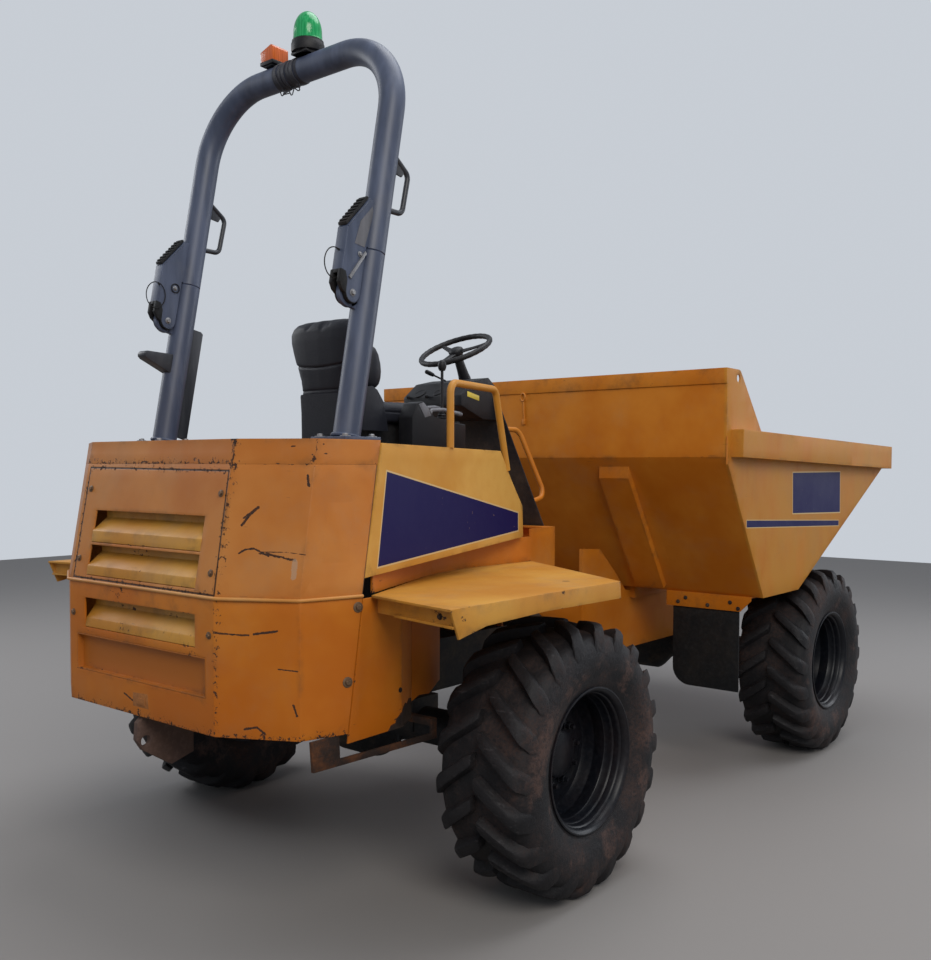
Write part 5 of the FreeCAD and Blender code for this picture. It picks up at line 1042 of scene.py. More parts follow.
def lamps():
    """The beacon's ribbed dome on its dark foot, and the side lamp on its bracket."""
    low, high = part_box("beacon")
    x, y = (low.x + high.x) / 2, (low.y + high.y) / 2
    base = Heap()
    base.spun([(0, 0), (0, 0.050), (0.010, 0.052), (0.012, 0.066), (0.020, 0.0685), (0.045, 0.0685), (0.050, 0.0655),
               (0.058, 0.0655), (0.060, 0.060), (0.060, 0)], (x, y, low.z), sides=48)
    base.box((x - 0.052, y - 0.046, low.z), (x + 0.052, y + 0.046, low.z + 0.009), 0.002)
    base.made("beacon_foot", "beacon", "black_plastic", plastic)
    tall = high.z - low.z
    profile = [(0.058, 0), (0.058, 0.0600), (0.062, 0.0615), (0.066, 0.0600), (0.095, 0.0585)]
    profile += [(0.095 + (tall - 0.0955) * math.sin(t), 0.0585 * math.cos(t)) for t in np.linspace(0.1, math.pi / 2, 10)]
    dome = Heap().spun(profile, (x, y, low.z), sides=64)
    dome.made("beacon_dome", "beacon", "green_lens", green, 40, ("beacon",))
    low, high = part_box("side_lamp")
    bracket = Heap().box((low.x + 0.012, low.y + 0.016, low.z), (high.x - 0.012, high.y - 0.016, low.z + 0.008))
    bracket.box((low.x + 0.004, low.y + 0.004, low.z + 0.006), (high.x - 0.004, high.y - 0.004, low.z + 0.022), 0.004)
    bracket.made("side_lamp_bracket", "side_lamp", "black_plastic", plastic)
    body = [(low.y + 0.004, low.z + 0.020), (high.y - 0.006, low.z + 0.016), (high.y - 0.002, high.z - 0.026),
            (low.y + 0.018, high.z - 0.004), (low.y + 0.006, high.z - 0.012)]
    lamp = Heap().slab(body, high.x - low.x - 0.012, (low.x + 0.006, 0, 0), (0, 1, 0), (0, 0, 1), 0.010)
    lamp.made("side_lamp_lens", "side_lamp", "amber_lens", amber, 40, ("side_lamp",))
    wrap = Heap()
    wobble = np.random.default_rng(3)
    for i in range(11):
        y = -0.008 + 0.0128 * i
        radius = BAR_RADIUS + 0.0012 + 0.0011 * (i * 7 % 4)
        centre = by_leg(0, y, up_leg(BAR_TOP))
        wrap.spun([(-0.009, radius - 0.003), (-0.008, radius), (0.008, radius), (0.009, radius - 0.003)], centre,
                  (0.16 * (i % 2) - 0.08, 1, 0.09 * (i % 3) - 0.09), 40, True)
    for i in range(6):
        y = 0.000 + 0.019 * i
        ends = wobble.uniform(-0.02, 0.02, (3, 2))
        low_end = up_leg(BAR_TOP) - 0.066 - 0.008 * (i * 5 % 4)
        corners = [by_leg(0.01 + ends[0, 0], y, up_leg(BAR_TOP) - 0.048),
                   by_leg(ends[1, 0] * 1.4, y + ends[1, 1], low_end - 0.012),
                   by_leg(ends[2, 0], y + ends[2, 1] * 1.6, low_end)]
        wrap.tube(rounded_path(corners, 0.006, 5), 0.0024, 8)
    wrap.made("lamp_wrap", "rops_hoop", "rubber", tape_grey)


lower_legs()
hoop()
hoop_handles()
lamps()


# Chassis pieces with round sections

PIVOT = ahead(1.100)
PIVOT_LEVEL = 0.750


def axle_casing(node, reach, seat):
    """Drive casing swelling into the axle tubes, hubs at both ends, and the pads that carry the frame."""
    heap = Heap()
    x = ahead(reach)
    half = [(0.9757, 0.0), (0.9757, 0.146), (0.972, 0.150), (0.860, 0.150), (0.840, 0.140), (0.812, 0.138), (0.795, 0.112),
            (0.760, 0.088), (0.720, 0.078), (0.300, 0.078), (0.190, 0.092), (0.150, 0.125), (0.104, 0.172), (0.088, 0.184),
            (0.0, 0.185)]
    heap.spun(half + [(-u, r) for u, r in reversed(half[:-1])], (x, 0, AXLE_HEIGHT), (0, 1, 0), 56)
    heap.spun([(-0.165, 0), (-0.165, 0.072), (-0.150, 0.090), (-0.100, 0.095), (0.100, 0.095), (0.150, 0.090),
               (0.165, 0.072), (0.165, 0)], (x, 0, AXLE_HEIGHT), (1, 0, 0), 40)
    for side in (-1, 1):
        heap.spun([(0.95, 0), (0.95, 0.0595), (1.030, 0.0595), (1.0335, 0.055), (1.0335, 0)], (x, 0, AXLE_HEIGHT),
                  (0, side, 0), 36)
        y = side * 0.300
        heap.box((x - 0.085, y - 0.045, AXLE_HEIGHT - 0.02), (x + 0.085, y + 0.045, seat), 0.006)
        for u in (-0.062, 0.062):
            heap.rod((x + u, y - side * 0.058, AXLE_HEIGHT - 0.085), (x + u, y - side * 0.058, seat - 0.012), 0.009)
        for i in range(8):
            turn = 2 * math.pi * i / 8
            heap.bolt((x + 0.145 * math.sin(turn), side * 0.1065, AXLE_HEIGHT + 0.145 * math.cos(turn)), (0, side, 0), 0.009)
    heap.made(node + "_dressed", node, "chassis_paint", chassis_black, replaced=(node,))


def pivot():
    heap = Heap()
    heap.spun([(0.603, 0.0425), (0.603, 0.084), (0.607, 0.088), (0.893, 0.088), (0.897, 0.084), (0.897, 0.0425)],
              (PIVOT, 0, 0), sides=48, closed=True)
    wall = ahead(1.290)
    heap.spun([(0.085, 0), (0.085, 0.098), (0.089, 0.100), (0.180, 0.100), (0.184, 0.097), (0.184, 0.070),
               (0.233, 0.070), (0.233, 0.094), (0.236, 0.095), (0.250, 0.095), (0.253, 0.090), (0.253, 0)],
              (PIVOT, 0, PIVOT_LEVEL), (1, 0, 0), 48)
    for i in range(6):
        turn = 2 * math.pi * i / 6
        heap.bolt((wall + 0.063, 0.066 * math.sin(turn), PIVOT_LEVEL + 0.066 * math.cos(turn)), (1, 0, 0), 0.009, 1.3)
    arm = [(PIVOT - 0.03, -0.060), (PIVOT + 0.09, -0.040), (ahead(1.265), -0.185), (ahead(1.265), -0.262),
           (ahead(1.195), -0.262)]
    heap.slab(arm, 0.0245, (0, 0, 0.628), (1, 0, 0), (0, 1, 0), 0.003)
    heap.made("pivot_yoke_dressed", "pivot_yoke", "chassis_paint", chassis_black, replaced=("pivot_yoke",))


def ram(barrel_node, rod_node, foot, head, pin_axis, radius, rod_radius, eye, eye_half, neck, long, start):
    """A ram: turned barrel with a gland nut and two ports, and a plated rod that ends in its eye."""
    barrel = Heap()
    bar = Heap()
    for side in (-1, 1) if abs(foot[1]) < 0.2 else (1,):
        base = Vector((foot[0], foot[1] * side, foot[2]))
        run = (Vector((head[0], head[1] * side, head[2])) - base).normalized()
        reach = (Vector(head) - Vector(foot)).length
        profile = [(neck, 0), (neck, radius * 0.88), (neck + 0.006, radius), (long - 0.045, radius),
                   (long - 0.043, radius * 0.94), (long - 0.040, radius * 0.94), (long - 0.038, radius),
                   (long - 0.003, radius), (long, radius * 0.94), (long, rod_radius + 0.0006), (long - 0.020, rod_radius + 0.0006), (long - 0.020, 0)]
        barrel.spun(profile, base, run, 40)
        barrel.spun([(-eye_half, 0), (-eye_half, eye * 0.88), (0.003 - eye_half, eye * 0.9), (eye_half - 0.003, eye * 0.9),
                     (eye_half, eye * 0.88), (eye_half, 0)], base, pin_axis, 32)
        barrel.rod(base + run * 0.010, base + run * (neck + 0.010), eye * 0.62)
        lift = run.cross(Vector(pin_axis)).normalized()
        lift = lift if lift.z > 0 or abs(lift.z) < 0.1 else -lift
        for spot in (neck + 0.030, long - 0.060):
            barrel.rod(base + run * spot + lift * (radius - 0.004), base + run * spot + lift * (radius + 0.012), 0.011, 6)
        bar.rod(base + run * start, base + run * (reach - eye + 0.008), rod_radius, 32)
        bar.spun([(-eye_half, 0), (-eye_half, eye * 0.96), (0.003 - eye_half, eye), (eye_half - 0.003, eye),
                  (eye_half, eye * 0.96), (eye_half, 0)], base + run * reach, pin_axis, 32)
    barrel.made(barrel_node + "_dressed", barrel_node, "chassis_paint", chassis_black, replaced=(barrel_node,))
    bar.made(rod_node + "_dressed", rod_node, "ram_steel", rod_chrome, replaced=(rod_node,))


axle_casing("rear_axle_casing", 0.0, 0.650)
axle_casing("front_axle_casing", WHEELBASE, 0.612)
pivot()
ram("tip_barrels", "tip_rods", (ahead(1.480), 0.150, 0.640), (ahead(2.330), 0.150, 0.850), (0, 1, 0),
    0.055, 0.024, 0.040, 0.028, 0.052, 0.7855, 0.150)
ram("steer_barrel", "steer_rod", (ahead(0.731), -0.230, 0.690), (ahead(1.230), -0.230, 0.690), (0, 0, 1),
    0.034, 0.017, 0.030, 0.037, 0.038, 0.322, 0.180)


# Operator's controls

def steering_wheel():
    """A moulded grip with finger swells, three spokes that widen to the hub, and a domed cap."""
    middle = Vector((ahead(0.608), 0, 2.230))
    tilt = math.radians(-28)
    out = Vector((math.sin(tilt), 0, math.cos(tilt)))
    across = Vector((math.cos(tilt), 0, -math.sin(tilt)))
    side = out.cross(across)

    def place(reach, turn, high=0.0):
        return middle + (across * math.cos(turn) + side * math.sin(turn)) * reach + out * high

    grip = Heap()
    turns = np.linspace(0, 2 * math.pi, 120, endpoint=False)
    grip.tube([place(0.178, t) for t in turns], 0.0135 + 0.0005 * np.cos(turns * 30), 20, True)
    for i in range(3):
        turn = math.radians(60 + 120 * i)
        rings = []
        for share in np.linspace(0, 1, 9):
            reach = 0.030 + 0.146 * share
            wide = 0.024 - 0.012 * math.sin(share * math.pi / 2)
            thick = 0.007 - 0.002 * share
            centre = place(reach, turn, -0.014 + 0.010 * share ** 3)
            beside = (side * math.cos(turn) - across * math.sin(turn))
            rings.append([centre + beside * (wide * math.cos(a)) + out * (thick * math.sin(a))
                          for a in np.linspace(0, 2 * math.pi, 16, endpoint=False)])
        grip.rings([[tuple(p) for p in ring] for ring in rings])
    grip.spun([(-0.030, 0), (-0.030, 0.030), (-0.020, 0.036), (-0.004, 0.038), (0.004, 0.034), (0.010, 0.022), (0.0125, 0)],
              middle, out, 36)
    grip.made("steering_wheel_dressed", "steering_wheel", "black_plastic", plastic, 40, ("steering_wheel",))

    column = Heap()
    low = middle - out * 0.183
    column.spun([(0, 0), (0, 0.0300), (0.030, 0.0300), (0.050, 0.0270), (0.080, 0.0245), (0.120, 0.0225),
                 (0.148, 0.0260), (0.1530, 0.0240), (0.1530, 0)], low, out, 36)
    stalk = Vector(on(0.545, 0.010, 2.072))
    tip = Vector(on(0.492, 0.098, 2.122))
    column.tube([stalk, stalk.lerp(tip, 0.3), stalk.lerp(tip, 0.62), stalk.lerp(tip, 0.64)], [0.0045, 0.0045, 0.0045, 0.004],
                12)
    column.tube([stalk.lerp(tip, share) for share in (0.56, 0.60, 0.75, 0.95, 1.0)],
                [0.006, 0.0090, 0.0110, 0.0105, 0.006], 16)
    column.made("steering_column_dressed", "steering_column", "black_plastic", plastic, 40, ("steering_column",))


def levers():
    """The side console: a moulded box with a boot, a lever and its knob, and two rocker switches."""
    low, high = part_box("lever_console")
    top = 1.930
    box = Heap()
    outline = [(low.x, 1.712), (high.x, 1.712), (high.x, 1.842), (ahead(0.075), 1.862), (ahead(0.045), 1.905),
               (ahead(0.010), top + 0.002), (ahead(-0.030), 1.922), (low.x, 1.862)]
    box.slab(outline, 0.082, (0, high.y, 0), (1, 0, 0), (0, 0, 1), 0.006)
    x = ahead(0.180)
    y = -0.280
    box.spun([(0, 0), (0, 0.030), (0.006, 0.031), (0.012, 0.024), (0.018, 0.026), (0.024, 0.019), (0.030, 0.021),
              (0.036, 0.014), (0.042, 0.015), (0.050, 0.008), (0.050, 0)], (x, y, 1.850), sides=32)
    box.rod((x, y, 1.89), (x, y, 2.090), 0.0065)
    box.spun([(2.078, 0), (2.078, 0.012), (2.086, 0.017), (2.100, 0.020), (2.114, 0.018), (2.124, 0.011), (2.1275, 0)],
             (x, y, 0), sides=32)
    for i in range(2):
        spot = ahead(0.215 + 0.038 * i)
        box.box((spot, y - 0.022, 1.838), (spot + 0.026, y + 0.022, 1.854), 0.003)
    arms = Heap()
    for beside, rise in ((-0.028, 0.0), (0.018, 0.012)):
        arms.tube(rounded_path([(ahead(0.060), y + beside, 1.862), (ahead(0.075), y + beside, 1.896 + rise),
                                (ahead(0.150), y + beside, 1.902 + rise), (ahead(0.282), y + beside, 1.886 + rise)], 0.012, 5),
                  0.0085, 14)
    arms.rod((ahead(0.270), y - 0.034, 1.887), (ahead(0.270), y + 0.030, 1.900), 0.010)
    arms.slab([(ahead(-0.020), 1.918), (ahead(0.012), 1.927), (ahead(0.043), 1.902), (ahead(0.060), 1.872),
               (ahead(0.020), 1.862)], 0.0016, (0, low.y + 0.0005, 0), (1, 0, 0), (0, 0, 1), 0.0004)
    arms.made("console_arms", "lever_console", "roll_bar_paint", worn_grey)
    box.made("lever_console_dressed", "lever_console", "black_plastic", plastic, 40, ("lever_console",))


def hand_rails():
    def panel_side(reach):
        return -(0.777 - math.tan(math.radians(12.285)) * (reach + 0.807)) + 0.006

    heap = Heap()
    corners = [(ahead(x), panel_side(x), z) for x, z in ((-0.182, 1.7245), (-0.182, 1.985), (0.225, 1.985), (0.349, 1.634))]
    heap.tube(rounded_path(corners, 0.045, 10), 0.0152, 28)
    heap.made("grab_rail_dressed", "grab_rail_right", "yellow_paint", plain_paint, replaced=("grab_rail_right",))

    def spot(height, out, beside):
        share = (height - 1.357) / (2.014 - 1.357)
        half = 0.376 + share * (0.190 - 0.376)
        return ahead(0.850 + share * (0.690 - 0.850) + out), beside - half, height

    heap = Heap()
    corners = [spot(1.836, 0.0, 0.028), spot(1.836, 0.120, 0.028), spot(1.500, 0.140, 0.028), spot(1.475, 0.0, 0.028)]
    heap.tube(rounded_path(corners, 0.055, 10), 0.0129, 24)
    heap.made("shield_rail_dressed", "shield_rail", "skip_paint", small_skip_paint, replaced=("shield_rail",))


steering_wheel()
levers()
hand_rails()


# Fastenings and edges of the body

def body_trim():
    bead = Heap()
    track = [on(-0.823, -0.787, 1.207), on(-1.049, -0.724, 1.207), on(-1.194, -0.465, 1.207), on(-1.194, 0.465, 1.207),
             on(-1.049, 0.724, 1.207), on(-0.823, 0.787, 1.207)]
    bead.tube(rounded_path(track, 0.030, 5), 0.0062, 12)
    bead.made("belt_bead", "tail_lower", "yellow_paint", rail_paint, 60)
    door = Heap()
    for side in (-1, 1):
        bolt_out = Vector((-0.29, side * 0.96, 0.01)).normalized()
        door.bolt(on(-0.8395, side * 0.7801, 1.1697), bolt_out, 0.0105, 1.75)
        door.bolt(on(-0.8801, side * 0.7704, 0.9171), bolt_out, 0.0105, 1.75)
    leaning = (-0.983, 0, 0.184)
    for y, z in ((0.4018, 1.5584), (-0.4167, 1.5560), (0.4090, 1.2900), (-0.4224, 1.2884)):
        door.bolt(on(-1.110 - (1.656 - z) * 0.1845, y, z), leaning, 0.0085, 1.5)
    for y in (0.430, -0.4300):
        door.bolt(on(-1.1930, y, 1.0800), (-1, 0, 0), 0.0085, 1.5)
    door.made("body_bolts", "tail_lower", "rusty_steel", bolt_steel)
    dark = Heap()
    dark.bolt(on(-0.8259, -1.1380, 1.1709), (-0.98, 0.21, 0), 0.0085, 1.3)
    dark.made("fender_bolt", "fender_right", "rusty_steel", hole_shade_black)
    small = Heap()
    small.bolt(on(-0.6073, -0.7603, 0.8424), (0.04, -1, 0), 0.006, 1.6)
    small.made("flank_bolt", "flank_panels", "rusty_steel", hole_shade_black)
    # Wheel-arch sheets ahead of each flank, in the darker yellow that paints the shade there.
    arch = Heap()
    for side in (-1, 1):
        rings = []
        outline = ((-0.4702, 0.6900), (-0.420, 0.6840), (-0.350, 0.6720), (-0.285, 0.6520), (-0.230, 0.6230),
                   (-0.190, 0.5850), (-0.165, 0.5400))
        torn = (0.765, 0.780, 0.772, 0.795, 0.800, 0.830, 0.850)
        for (x, y), foot in zip(outline, torn):
            rings.append([on(x, side * y, foot), on(x + 0.002, side * (y - 0.003), foot), on(x + 0.002, side * (y - 0.003), 1.168),
                          on(x, side * y, 1.168)])
        arch.rings(rings)
    arch.made("arch_sheets", "flank_panels", "yellow_paint", shaded_arch_paint)
    # The torn flank: a rusty rim, and on it a black sheet that paints the shade inside the hole.
    rust_rim = Heap()
    hole_shade_sheet = Heap()
    for heap, grown, thick in ((rust_rim, 0.007, 0.0008), (hole_shade_sheet, 0.0, 0.0014)):
        heap.slab([(-0.059 - grown, 0.7052), (-0.043 - grown, 0.716 + grown), (-0.025, 0.721 + grown), (-0.015 - grown, 0.740),
                   (0.005, 0.751 + grown), (0.0134, 0.757 + grown), (0.0134, 0.7052)], thick,
                  (ahead(-0.6089), -0.7603, 0), (1, 0.036, 0), (0, 0, 1), 0)
        heap.slab([(0, 0.7052), (0, 0.757 + grown), (0.018, 0.768 + grown), (0.045, 0.776 + grown), (0.070, 0.768 + grown),
                   (0.095, 0.781 + grown), (0.134, 0.774 + grown), (0.134, 0.7052)], thick,
                  on(-0.5955, -0.7577, 0), (0.8807, 0.4737, 0), (0, 0, 1), 0)
    rust_rim.made("torn_rim", "flank_panels", "rusty_steel", step_rust)
    hole_shade_sheet.made("torn_hole_shade", "flank_panels", "chassis_paint", hole_shade_black)
    patch = Heap()
    patch.slab([(-0.072, 0.772), (0.028, 0.772), (0.028, 0.822), (-0.066, 0.828)], 0.0028, (ahead(-1.1931), 0, 0),
               (0, 1, 0), (0, 0, 1), 0.001)
    patch.slab([(-0.052, 0.782), (0.004, 0.782), (0.002, 0.806), (-0.050, 0.808)], 0.0026, (ahead(-1.1957), 0, 0),
               (0, 1, 0), (0, 0, 1), 0.001)
    patch.made("welded_patch", "tail_lower", "yellow_paint", patch_paint)


def skip_trim():
    bolts = Heap()
    for side in (-1, 1):
        for y, z in ((0.653, 0.9122), (0.698, 0.9371), (0.8285, 0.9076), (0.957, 0.9326), (1.0026, 0.9031)):
            bolts.bolt(on(1.744, side * y, z), (-1, 0, 0), 0.0075, 1.5)
    bolts.made("flap_bolts", "skip_brackets", "rusty_steel", hole_shade_black)
    hook = Heap()
    x = ahead(1.281) - 0.007
    ring = [(x + 0.006 * math.cos(t), 0.067 + 0.019 * math.cos(t), 2.036 + 0.021 * math.sin(t))
            for t in np.linspace(0, 2 * math.pi, 32, endpoint=False)]
    hook.tube(ring, 0.0045, 12, True)
    hook.tube(rounded_path([(x + 0.004, 0.065, 2.018), (x + 0.001, 0.062, 1.960), (x + 0.004, 0.058, 1.888)], 0.2, 8),
              0.0050, 12)
    hook.box((x - 0.004, 0.052, 1.884), (x + 0.010, 0.072, 1.914), 0.002)
    hook.made("tilt_hook", "skip", "skip_paint", small_skip_paint)
    welds = Heap()
    beads = np.random.default_rng(11)
    for side in (-1, 1):
        for start, end in (((1.2755, 1.1425, 1.800), (1.2755, 1.1425, 1.665)),):
            count = int((Vector(end) - Vector(start)).length / 0.006)
            path = [on(*Vector(start).lerp(Vector(end), i / count)) for i in range(count + 1)]
            path = [(p[0], side * p[1], p[2]) for p in path]
            welds.tube(path, 0.0035 + 0.0008 * beads.random(len(path)), 10)
    welds.made("corner_welds", "skip", "skip_paint", small_skip_paint)


# Seat: forms that are blown up as cloth

def stuffed(name, node, form, cap, sew, voxel=0.008):
    """A padded piece: the form is remeshed, blown up as cloth for 20 steps with each point held within the cap,
    subdivided once, and drawn in along its seams; sew gives a point's depth below the skin."""
    bmesh.ops.recalc_face_normals(form.code, faces=form.code.faces)
    mesh = bpy.data.meshes.new(name)
    form.code.to_mesh(mesh)
    form.code.free()
    thing = bpy.data.objects.new(name, mesh)
    bpy.context.scene.collection.objects.link(thing)

    def settle():
        graph = bpy.context.evaluated_depsgraph_get()
        made = bpy.data.meshes.new_from_object(thing.evaluated_get(graph))
        thing.modifiers.clear()
        thing.data = made
        return np.array([v.co for v in made.vertices])

    fine = thing.modifiers.new("fine", "REMESH")
    fine.mode = "VOXEL"
    fine.voxel_size = voxel
    start = settle()
    cloth = thing.modifiers.new("cloth", "CLOTH")
    cloth.settings.quality = 5
    cloth.settings.use_pressure = True
    cloth.settings.uniform_pressure_force = 4
    cloth.settings.effector_weights.gravity = 0
    cloth.point_cache.frame_start = 1
    cloth.point_cache.frame_end = 20
    for step in range(1, 21):
        bpy.context.scene.frame_set(step)
    shift = settle() - start
    bpy.context.scene.frame_set(1)
    long = np.linalg.norm(shift, axis=1)[:, None]
    puffed = start + shift * np.minimum(1, cap / np.maximum(long, 1e-9))
    thing.data.vertices.foreach_set("co", puffed.ravel())
    smooth = thing.modifiers.new("smooth", "SUBSURF")
    smooth.levels = 1
    settle()
    mesh = thing.data
    points = np.array([v.co for v in mesh.vertices])
    normals = np.array([v.normal for v in mesh.vertices])
    mesh.vertices.foreach_set("co", (points - normals * sew(points)[:, None]).ravel())
    mesh.update()
    finish_mesh(thing, BODY_OF[node], vinyl, 60)
    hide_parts(node)
    return thing


def groove(distance, half, depth):
    return depth * np.exp(-(distance / half) ** 2)


def rounded_ring(middle, deep_front, deep_rear, half, power, count=48):
    """Points round a rounded rectangle in the floor plane whose front and rear depths differ."""
    ring = []
    for t in np.linspace(0, 2 * math.pi, count, endpoint=False):
        c, s = math.cos(t), math.sin(t)
        deep = deep_front if c > 0 else deep_rear
        ring.append((middle + math.copysign(abs(c) ** power, c) * deep, math.copysign(abs(s) ** power, s) * half))
    return ring


def seat():
    back = Heap()
    # height, rear face, front face at the wings, half width
    levels = ((1.9315, -0.268, -0.160, 0.144), (1.9345, -0.276, -0.152, 0.156), (1.950, -0.280, -0.146, 0.162),
              (1.995, -0.286, -0.156, 0.170), (2.050, -0.291, -0.188, 0.184), (2.100, -0.295, -0.186, 0.201),
              (2.150, -0.298, -0.167, 0.216), (2.195, -0.300, -0.164, 0.2245), (2.232, -0.299, -0.172, 0.2235),
              (2.256, -0.295, -0.184, 0.209), (2.273, -0.289, -0.197, 0.183), (2.284, -0.277, -0.214, 0.130))
    rings = []
    for z, rear, front, half in levels:
        middle = (rear + front) / 2
        ring = rounded_ring(middle, front - middle, middle - rear, half, 0.46)
        hollow = 0.024 * min(1.0, (2.30 - z) / 0.12)
        rings.append([(ahead(x - (hollow * (1 - (y / half) ** 2) if x > middle else -0.010 * (y / half) ** 2)), y, z)
                      for x, y in ring])
    back.rings(rings)

    def back_seams(points):
        x, y, z = points.T
        seam = groove(z - 2.072 - 0.02 * (y / 0.2) ** 2, 0.0045, 0.0050) + groove(z - 1.975, 0.0045, 0.0030)
        shell = groove(x - ahead(-0.258), 0.0040, 0.0040)
        channels = groove(np.abs(y) - 0.118, 0.005, 0.005) * (x > ahead(-0.225)) * (z < 2.235) * (z > 1.955)
        return np.maximum(np.maximum(seam, shell), channels)

    stuffed("seat_back_padded", "seat_back", back, 0.011, back_seams)
    skirt = Heap()
    skirt.rings([[(ahead(x), y, z) for x, y in rounded_ring(-0.293, 0.007, 0.007, half, 0.3)]
                 for z, half in ((1.764, 0.114), (1.770, 0.118), (1.880, 0.120), (1.952, 0.126), (1.960, 0.122))])
    for side in (-1, 1):
        skirt.rings([[(ahead(-0.176 + a * math.cos(t)), side * 0.190 + b * math.sin(t), z)
                      for t in np.linspace(0, 2 * math.pi, 32, endpoint=False)]
                     for z, a, b in ((1.982, 0.008, 0.006), (1.987, 0.022, 0.016), (2.002, 0.036, 0.025), (2.025, 0.044, 0.030),
                                     (2.055, 0.047, 0.032), (2.088, 0.043, 0.031), (2.125, 0.032, 0.026),
                                     (2.150, 0.018, 0.016), (2.160, 0.006, 0.005))])
    skirt.slab([(-0.290, 1.800), (-0.290, 1.975), (-0.215, 1.988), (-0.185, 1.972), (-0.152, 1.930), (-0.126, 1.830),
                (-0.120, 1.800)], 0.010, (ahead(0), -0.225, 0), (1, 0, 0), (0, 0, 1), 0.002)
    skirt.made("seat_back_shell", "seat_back", "seat_vinyl", vinyl, 40)
    cushion = Heap()
    rings = []
    for share, z in ((0.93, 1.8395), (0.98, 1.8415), (0.995, 1.855), (0.995, 1.885), (0.98, 1.908), (0.93, 1.922),
                     (0.83, 1.9265), (0.70, 1.922), (0.50, 1.9155), (0.25, 1.913), (0.05, 1.913)):
        ring = []
        for x, y in rounded_ring(-0.040, 0.247, 0.247, 0.221, 0.45, 64):
            narrow = 1 - 0.27 * (1 - min(1.0, max(0.0, (x + 0.287) / 0.17))) ** 1.5
            fall = 0.016 * max(0.0, (x - 0.10) / 0.11) ** 2 if z > 1.89 else 0.0
            ring.append((ahead(-0.040 + (x + 0.040) * share), y * share * narrow, z - fall))
        rings.append(ring)
    cushion.rings(rings)

    def cushion_seams(points):
        x, y, z = points.T
        along = x - ahead(0)
        top = z > 1.902
        welt = groove(z - 1.885, 0.0035, 0.0040)
        sides = groove(np.abs(y) - 0.132, 0.0045, 0.0055) * top * (along > -0.23) * (along < 0.185)
        rows = sum(groove(along - spot, 0.0045, 0.0045) for spot in (-0.10, -0.01, 0.08)) * top * (np.abs(y) < 0.132)
        return np.maximum(np.maximum(welt, sides), rows)

    stuffed("seat_cushion_padded", "seat_cushion", cushion, 0.010, cushion_seams)


# Dash, shield and floor plates

def operator_place():
    dressed("dash_console", plastic, 0.010, 0.05)
    dressed("leg_shield", shield_black, 0.002, 0.06)
    dressed("seat_base", chassis_black, 0.003, 0.08)
    face = Vector((-0.61, 0, 0.79)).normalized()
    along = Vector((0.79, 0, 0.61)).normalized()
    middle = Vector(on(0.4506, -0.1573, 2.0061)) - Vector((0, -0.1573, 0))
    trim = Heap()
    for y, radius in ((0.095, 0.030), (-0.020, 0.022), (-0.100, 0.022)):
        spot = middle + Vector((0, y, 0))
        trim.spun([(-0.002, 0), (-0.002, radius), (0.003, radius + 0.0015), (0.0045, radius), (0.0045, radius - 0.004),
                   (0.0030, radius - 0.005), (0.0030, 0)], spot, face, 36)
    for y in (0.030, 0.150):
        spot = middle - along * 0.030 + Vector((0, y, 0))
        trim.spun([(-0.002, 0), (-0.002, 0.009), (0.004, 0.009), (0.012, 0.0075), (0.0135, 0.006), (0.0135, 0)], spot, face, 20)
    trim.made("dash_dials", "dash_console", "black_plastic", plastic)
    plate = Heap()
    plate.slab([(0.475, 1.985), (0.565, 1.968), (0.565, 1.992), (0.475, 2.010)], 0.0016, (ahead(0), -0.1850, 0),
               (1, 0, 0), (0, 0, 1), 0.0005)
    plate.made("dash_plate", "dash_console", "yellow_paint", plate_yellow)


body_trim()
skip_trim()
seat()
operator_place()
for name, material, slot in (("hitch", rusty, "rusty_steel"), ("step_bracket", step_rust, "rusty_steel"),
                             ("mud_flaps", flap_rubber, "rubber"), ("rear_frame", chassis_black, "chassis_paint"),
                             ("engine", iron, "engine_iron")):
    dressed(name, material, 0.0025, 0.10)


# Wheels

RIM_RADIUS = 0.283
TYRE_RADIUS = AXLE_HEIGHT
LUG_HEIGHT = 0.038
TREAD_HALF = 0.172
LUGS = 20


def tyre(end, side, middle_x, material):
    """A smooth carcass with raised bars: each bar sweeps back from the tread's middle to the shoulder."""
    sign = -1 if side == "right" else 1
    middle = (middle_x, sign * HALF_TRACK, AXLE_HEIGHT)
    tread = TYRE_RADIUS - LUG_HEIGHT
    # distance from the middle plane, radius
    half = [(0.150, 0.2625), (0.167, 0.2665), (0.170, 0.290), (0.177, 0.300), (0.180, 0.312), (0.190, 0.335),
            (0.199, 0.365), (0.2015, 0.395), (0.198, 0.425), (0.190, 0.452), (0.178, 0.472), (0.150, 0.483),
            (0.09, 0.4875), (0.03, tread)]
    profile = [(-u, r) for u, r in half] + [(u, r) for u, r in reversed(half)]
    carcass = spun_piece("carcass", profile, middle, BODY_OF["tyre_%s_%s" % (end, side)], material,
                         sides=120, closed=True, smooth_angle=50)
    bars = [carcass]
    for row in (-1, 1):
        for i in range(LUGS):
            turn = 2 * math.pi * (i + (0.5 if row * sign > 0 else 0)) / LUGS + math.pi
            bars.append(lug(middle, row * sign, turn, material, carcass))
    thing = joined("tyre_%s_%s_dressed" % (end, side), bars, BODY_OF["tyre_%s_%s" % (end, side)],
                   material, 40)
    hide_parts("tyre_%s_%s" % (end, side))


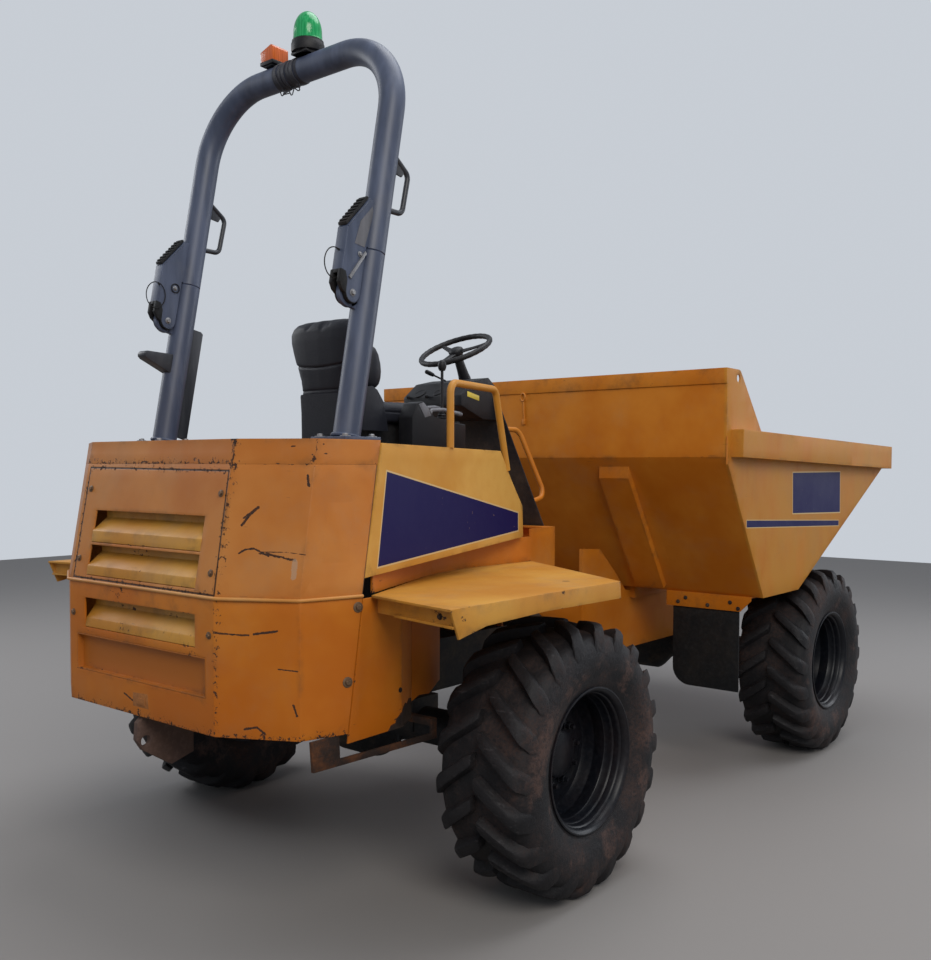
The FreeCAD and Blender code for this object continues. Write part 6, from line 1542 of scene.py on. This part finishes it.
def lug(middle, row, turn, material, like):
    """One bar: rounded blocks across the tread that bend down over the shoulder."""
    # share from the middle to the end, distance across, top radius, foot radius, half width at the top, sweep back
    stations = ((0.008, 0.5240, 0.480, 0.019, 0.010), (0.020, 0.5268, 0.478, 0.025, -0.008),
                (0.075, 0.5266, 0.475, 0.027, -0.086), (0.120, 0.5255, 0.470, 0.028, -0.148),
                (0.158, 0.5215, 0.462, 0.031, -0.204), (0.178, 0.5060, 0.445, 0.034, -0.242),
                (0.1925, 0.470, 0.425, 0.034, -0.274), (0.1985, 0.430, 0.405, 0.024, -0.292))
    rings = []
    for across, top, foot, half, sweep in stations:
        ring = []
        for along, lift in ((-1.45, 0), (-1.12, 0.72), (-0.90, 0.95), (-0.55, 1.0), (0.55, 1.0), (0.90, 0.95),
                            (1.12, 0.72), (1.45, 0)):
            radius = foot + (top - foot) * lift
            angle = turn + sweep + along * half / 0.52
            ring.append((middle[0] + radius * math.sin(angle), middle[1] + row * across,
                         middle[2] + radius * math.cos(angle)))
        rings.append(ring)
    count = len(rings[0])
    faces = skin_quads(len(rings), count, False, True)
    faces.append(tuple(range(count)))
    faces.append(tuple(range(len(rings) * count - 1, (len(rings) - 1) * count - 1, -1)))
    return piece("bar", rings, faces, like["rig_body"], material, 50)


def rim(end, side, middle_x):
    """A dished disc wheel: rolled edge, deep well, bolted disc and hub."""
    sign = -1 if side == "right" else 1
    body = BODY_OF["rim_%s_%s" % (end, side)]
    middle = (middle_x, sign * HALF_TRACK, AXLE_HEIGHT)
    # outward is towards the wheel's outer face: distance outward, radius
    profile = [(0.1765, 0.2815), (0.1775, 0.2760), (0.1735, 0.2690), (0.166, 0.2615), (0.150, 0.2575), (0.147, 0.2530),
               (0.141, 0.2505), (0.120, 0.2490), (0.116, 0.2455), (0.110, 0.2440), (0.085, 0.2430), (0.081, 0.2400),
               (0.040, 0.2390), (0.036, 0.2415), (0.030, 0.2415), (0.026, 0.2390), (0.000, 0.2385), (-0.018, 0.2300),
               (-0.020, 0.2050),
               (-0.006, 0.1800), (-0.008, 0.1500), (-0.010, 0.0990), (0.030, 0.0930), (0.040, 0.0800), (0.044, 0.0),
               (-0.050, 0.0), (-0.045, 0.1200), (-0.040, 0.2100), (-0.030, 0.2480), (-0.165, 0.2520),
               (-0.1765, 0.2700), (-0.1770, 0.2815), (-0.1655, 0.2815), (-0.164, 0.2610), (0.163, 0.2610),
               (0.1655, 0.2815)]
    disc = spun_piece("disc", [(u * sign, r) for u, r in profile], middle, body, rim_black,
                      sides=96, closed=True, smooth_angle=32)
    parts = [disc]
    for i in range(10):
        turn = 2 * math.pi * i / 10 + 0.2
        spot = (middle[0] + 0.128 * math.sin(turn), middle[1] - sign * 0.008, middle[2] + 0.128 * math.cos(turn))
        nut = [(0.0, 0.022), (0.004, 0.022), (0.006, 0.0155), (0.022, 0.0150), (0.024, 0.010), (0.040, 0.009), (0.041, 0.0)]
        parts.append(spun_piece("nut", [(u * sign, r) for u, r in [(0, 0)] + nut], spot, body,
                                rim_black, sides=6))
    thing = joined("rim_%s_%s_dressed" % (end, side), parts, body, rim_black)
    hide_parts("rim_%s_%s" % (end, side))


for end, middle_x, rubber in (("rear", REAR_AXLE, rear_rubber), ("front", REAR_AXLE + WHEELBASE, front_rubber)):
    for side in ("right", "left"):
        tyre(end, side, middle_x, rubber)
        rim(end, side, middle_x)


# Floor

def floor():
    low, high = cad_box
    reach = 14.0
    mesh = bpy.data.meshes.new("floor")
    mesh.from_pydata([(-reach, -reach, 0), (reach, -reach, 0), (reach, reach, 0), (-reach, reach, 0)], [], [(0, 1, 2, 3)])
    thing = bpy.data.objects.new("floor", mesh)
    bpy.context.scene.collection.objects.link(thing)
    finish = Finish("floor_grey")
    rays = finish.node("ShaderNodeLightPath")
    seen = Wire(finish.tree, rays.outputs["Is Camera Ray"])
    tone = finish.noise(1.2, 4, 0.6) * 0.05 + 0.34
    finish.colour(finish.mix(seen, (0.22, 0.21, 0.20), (0.25, 0.235, 0.225)))
    finish.set(Roughness=tone + 0.4)
    mesh.materials.append(finish.material)


floor()
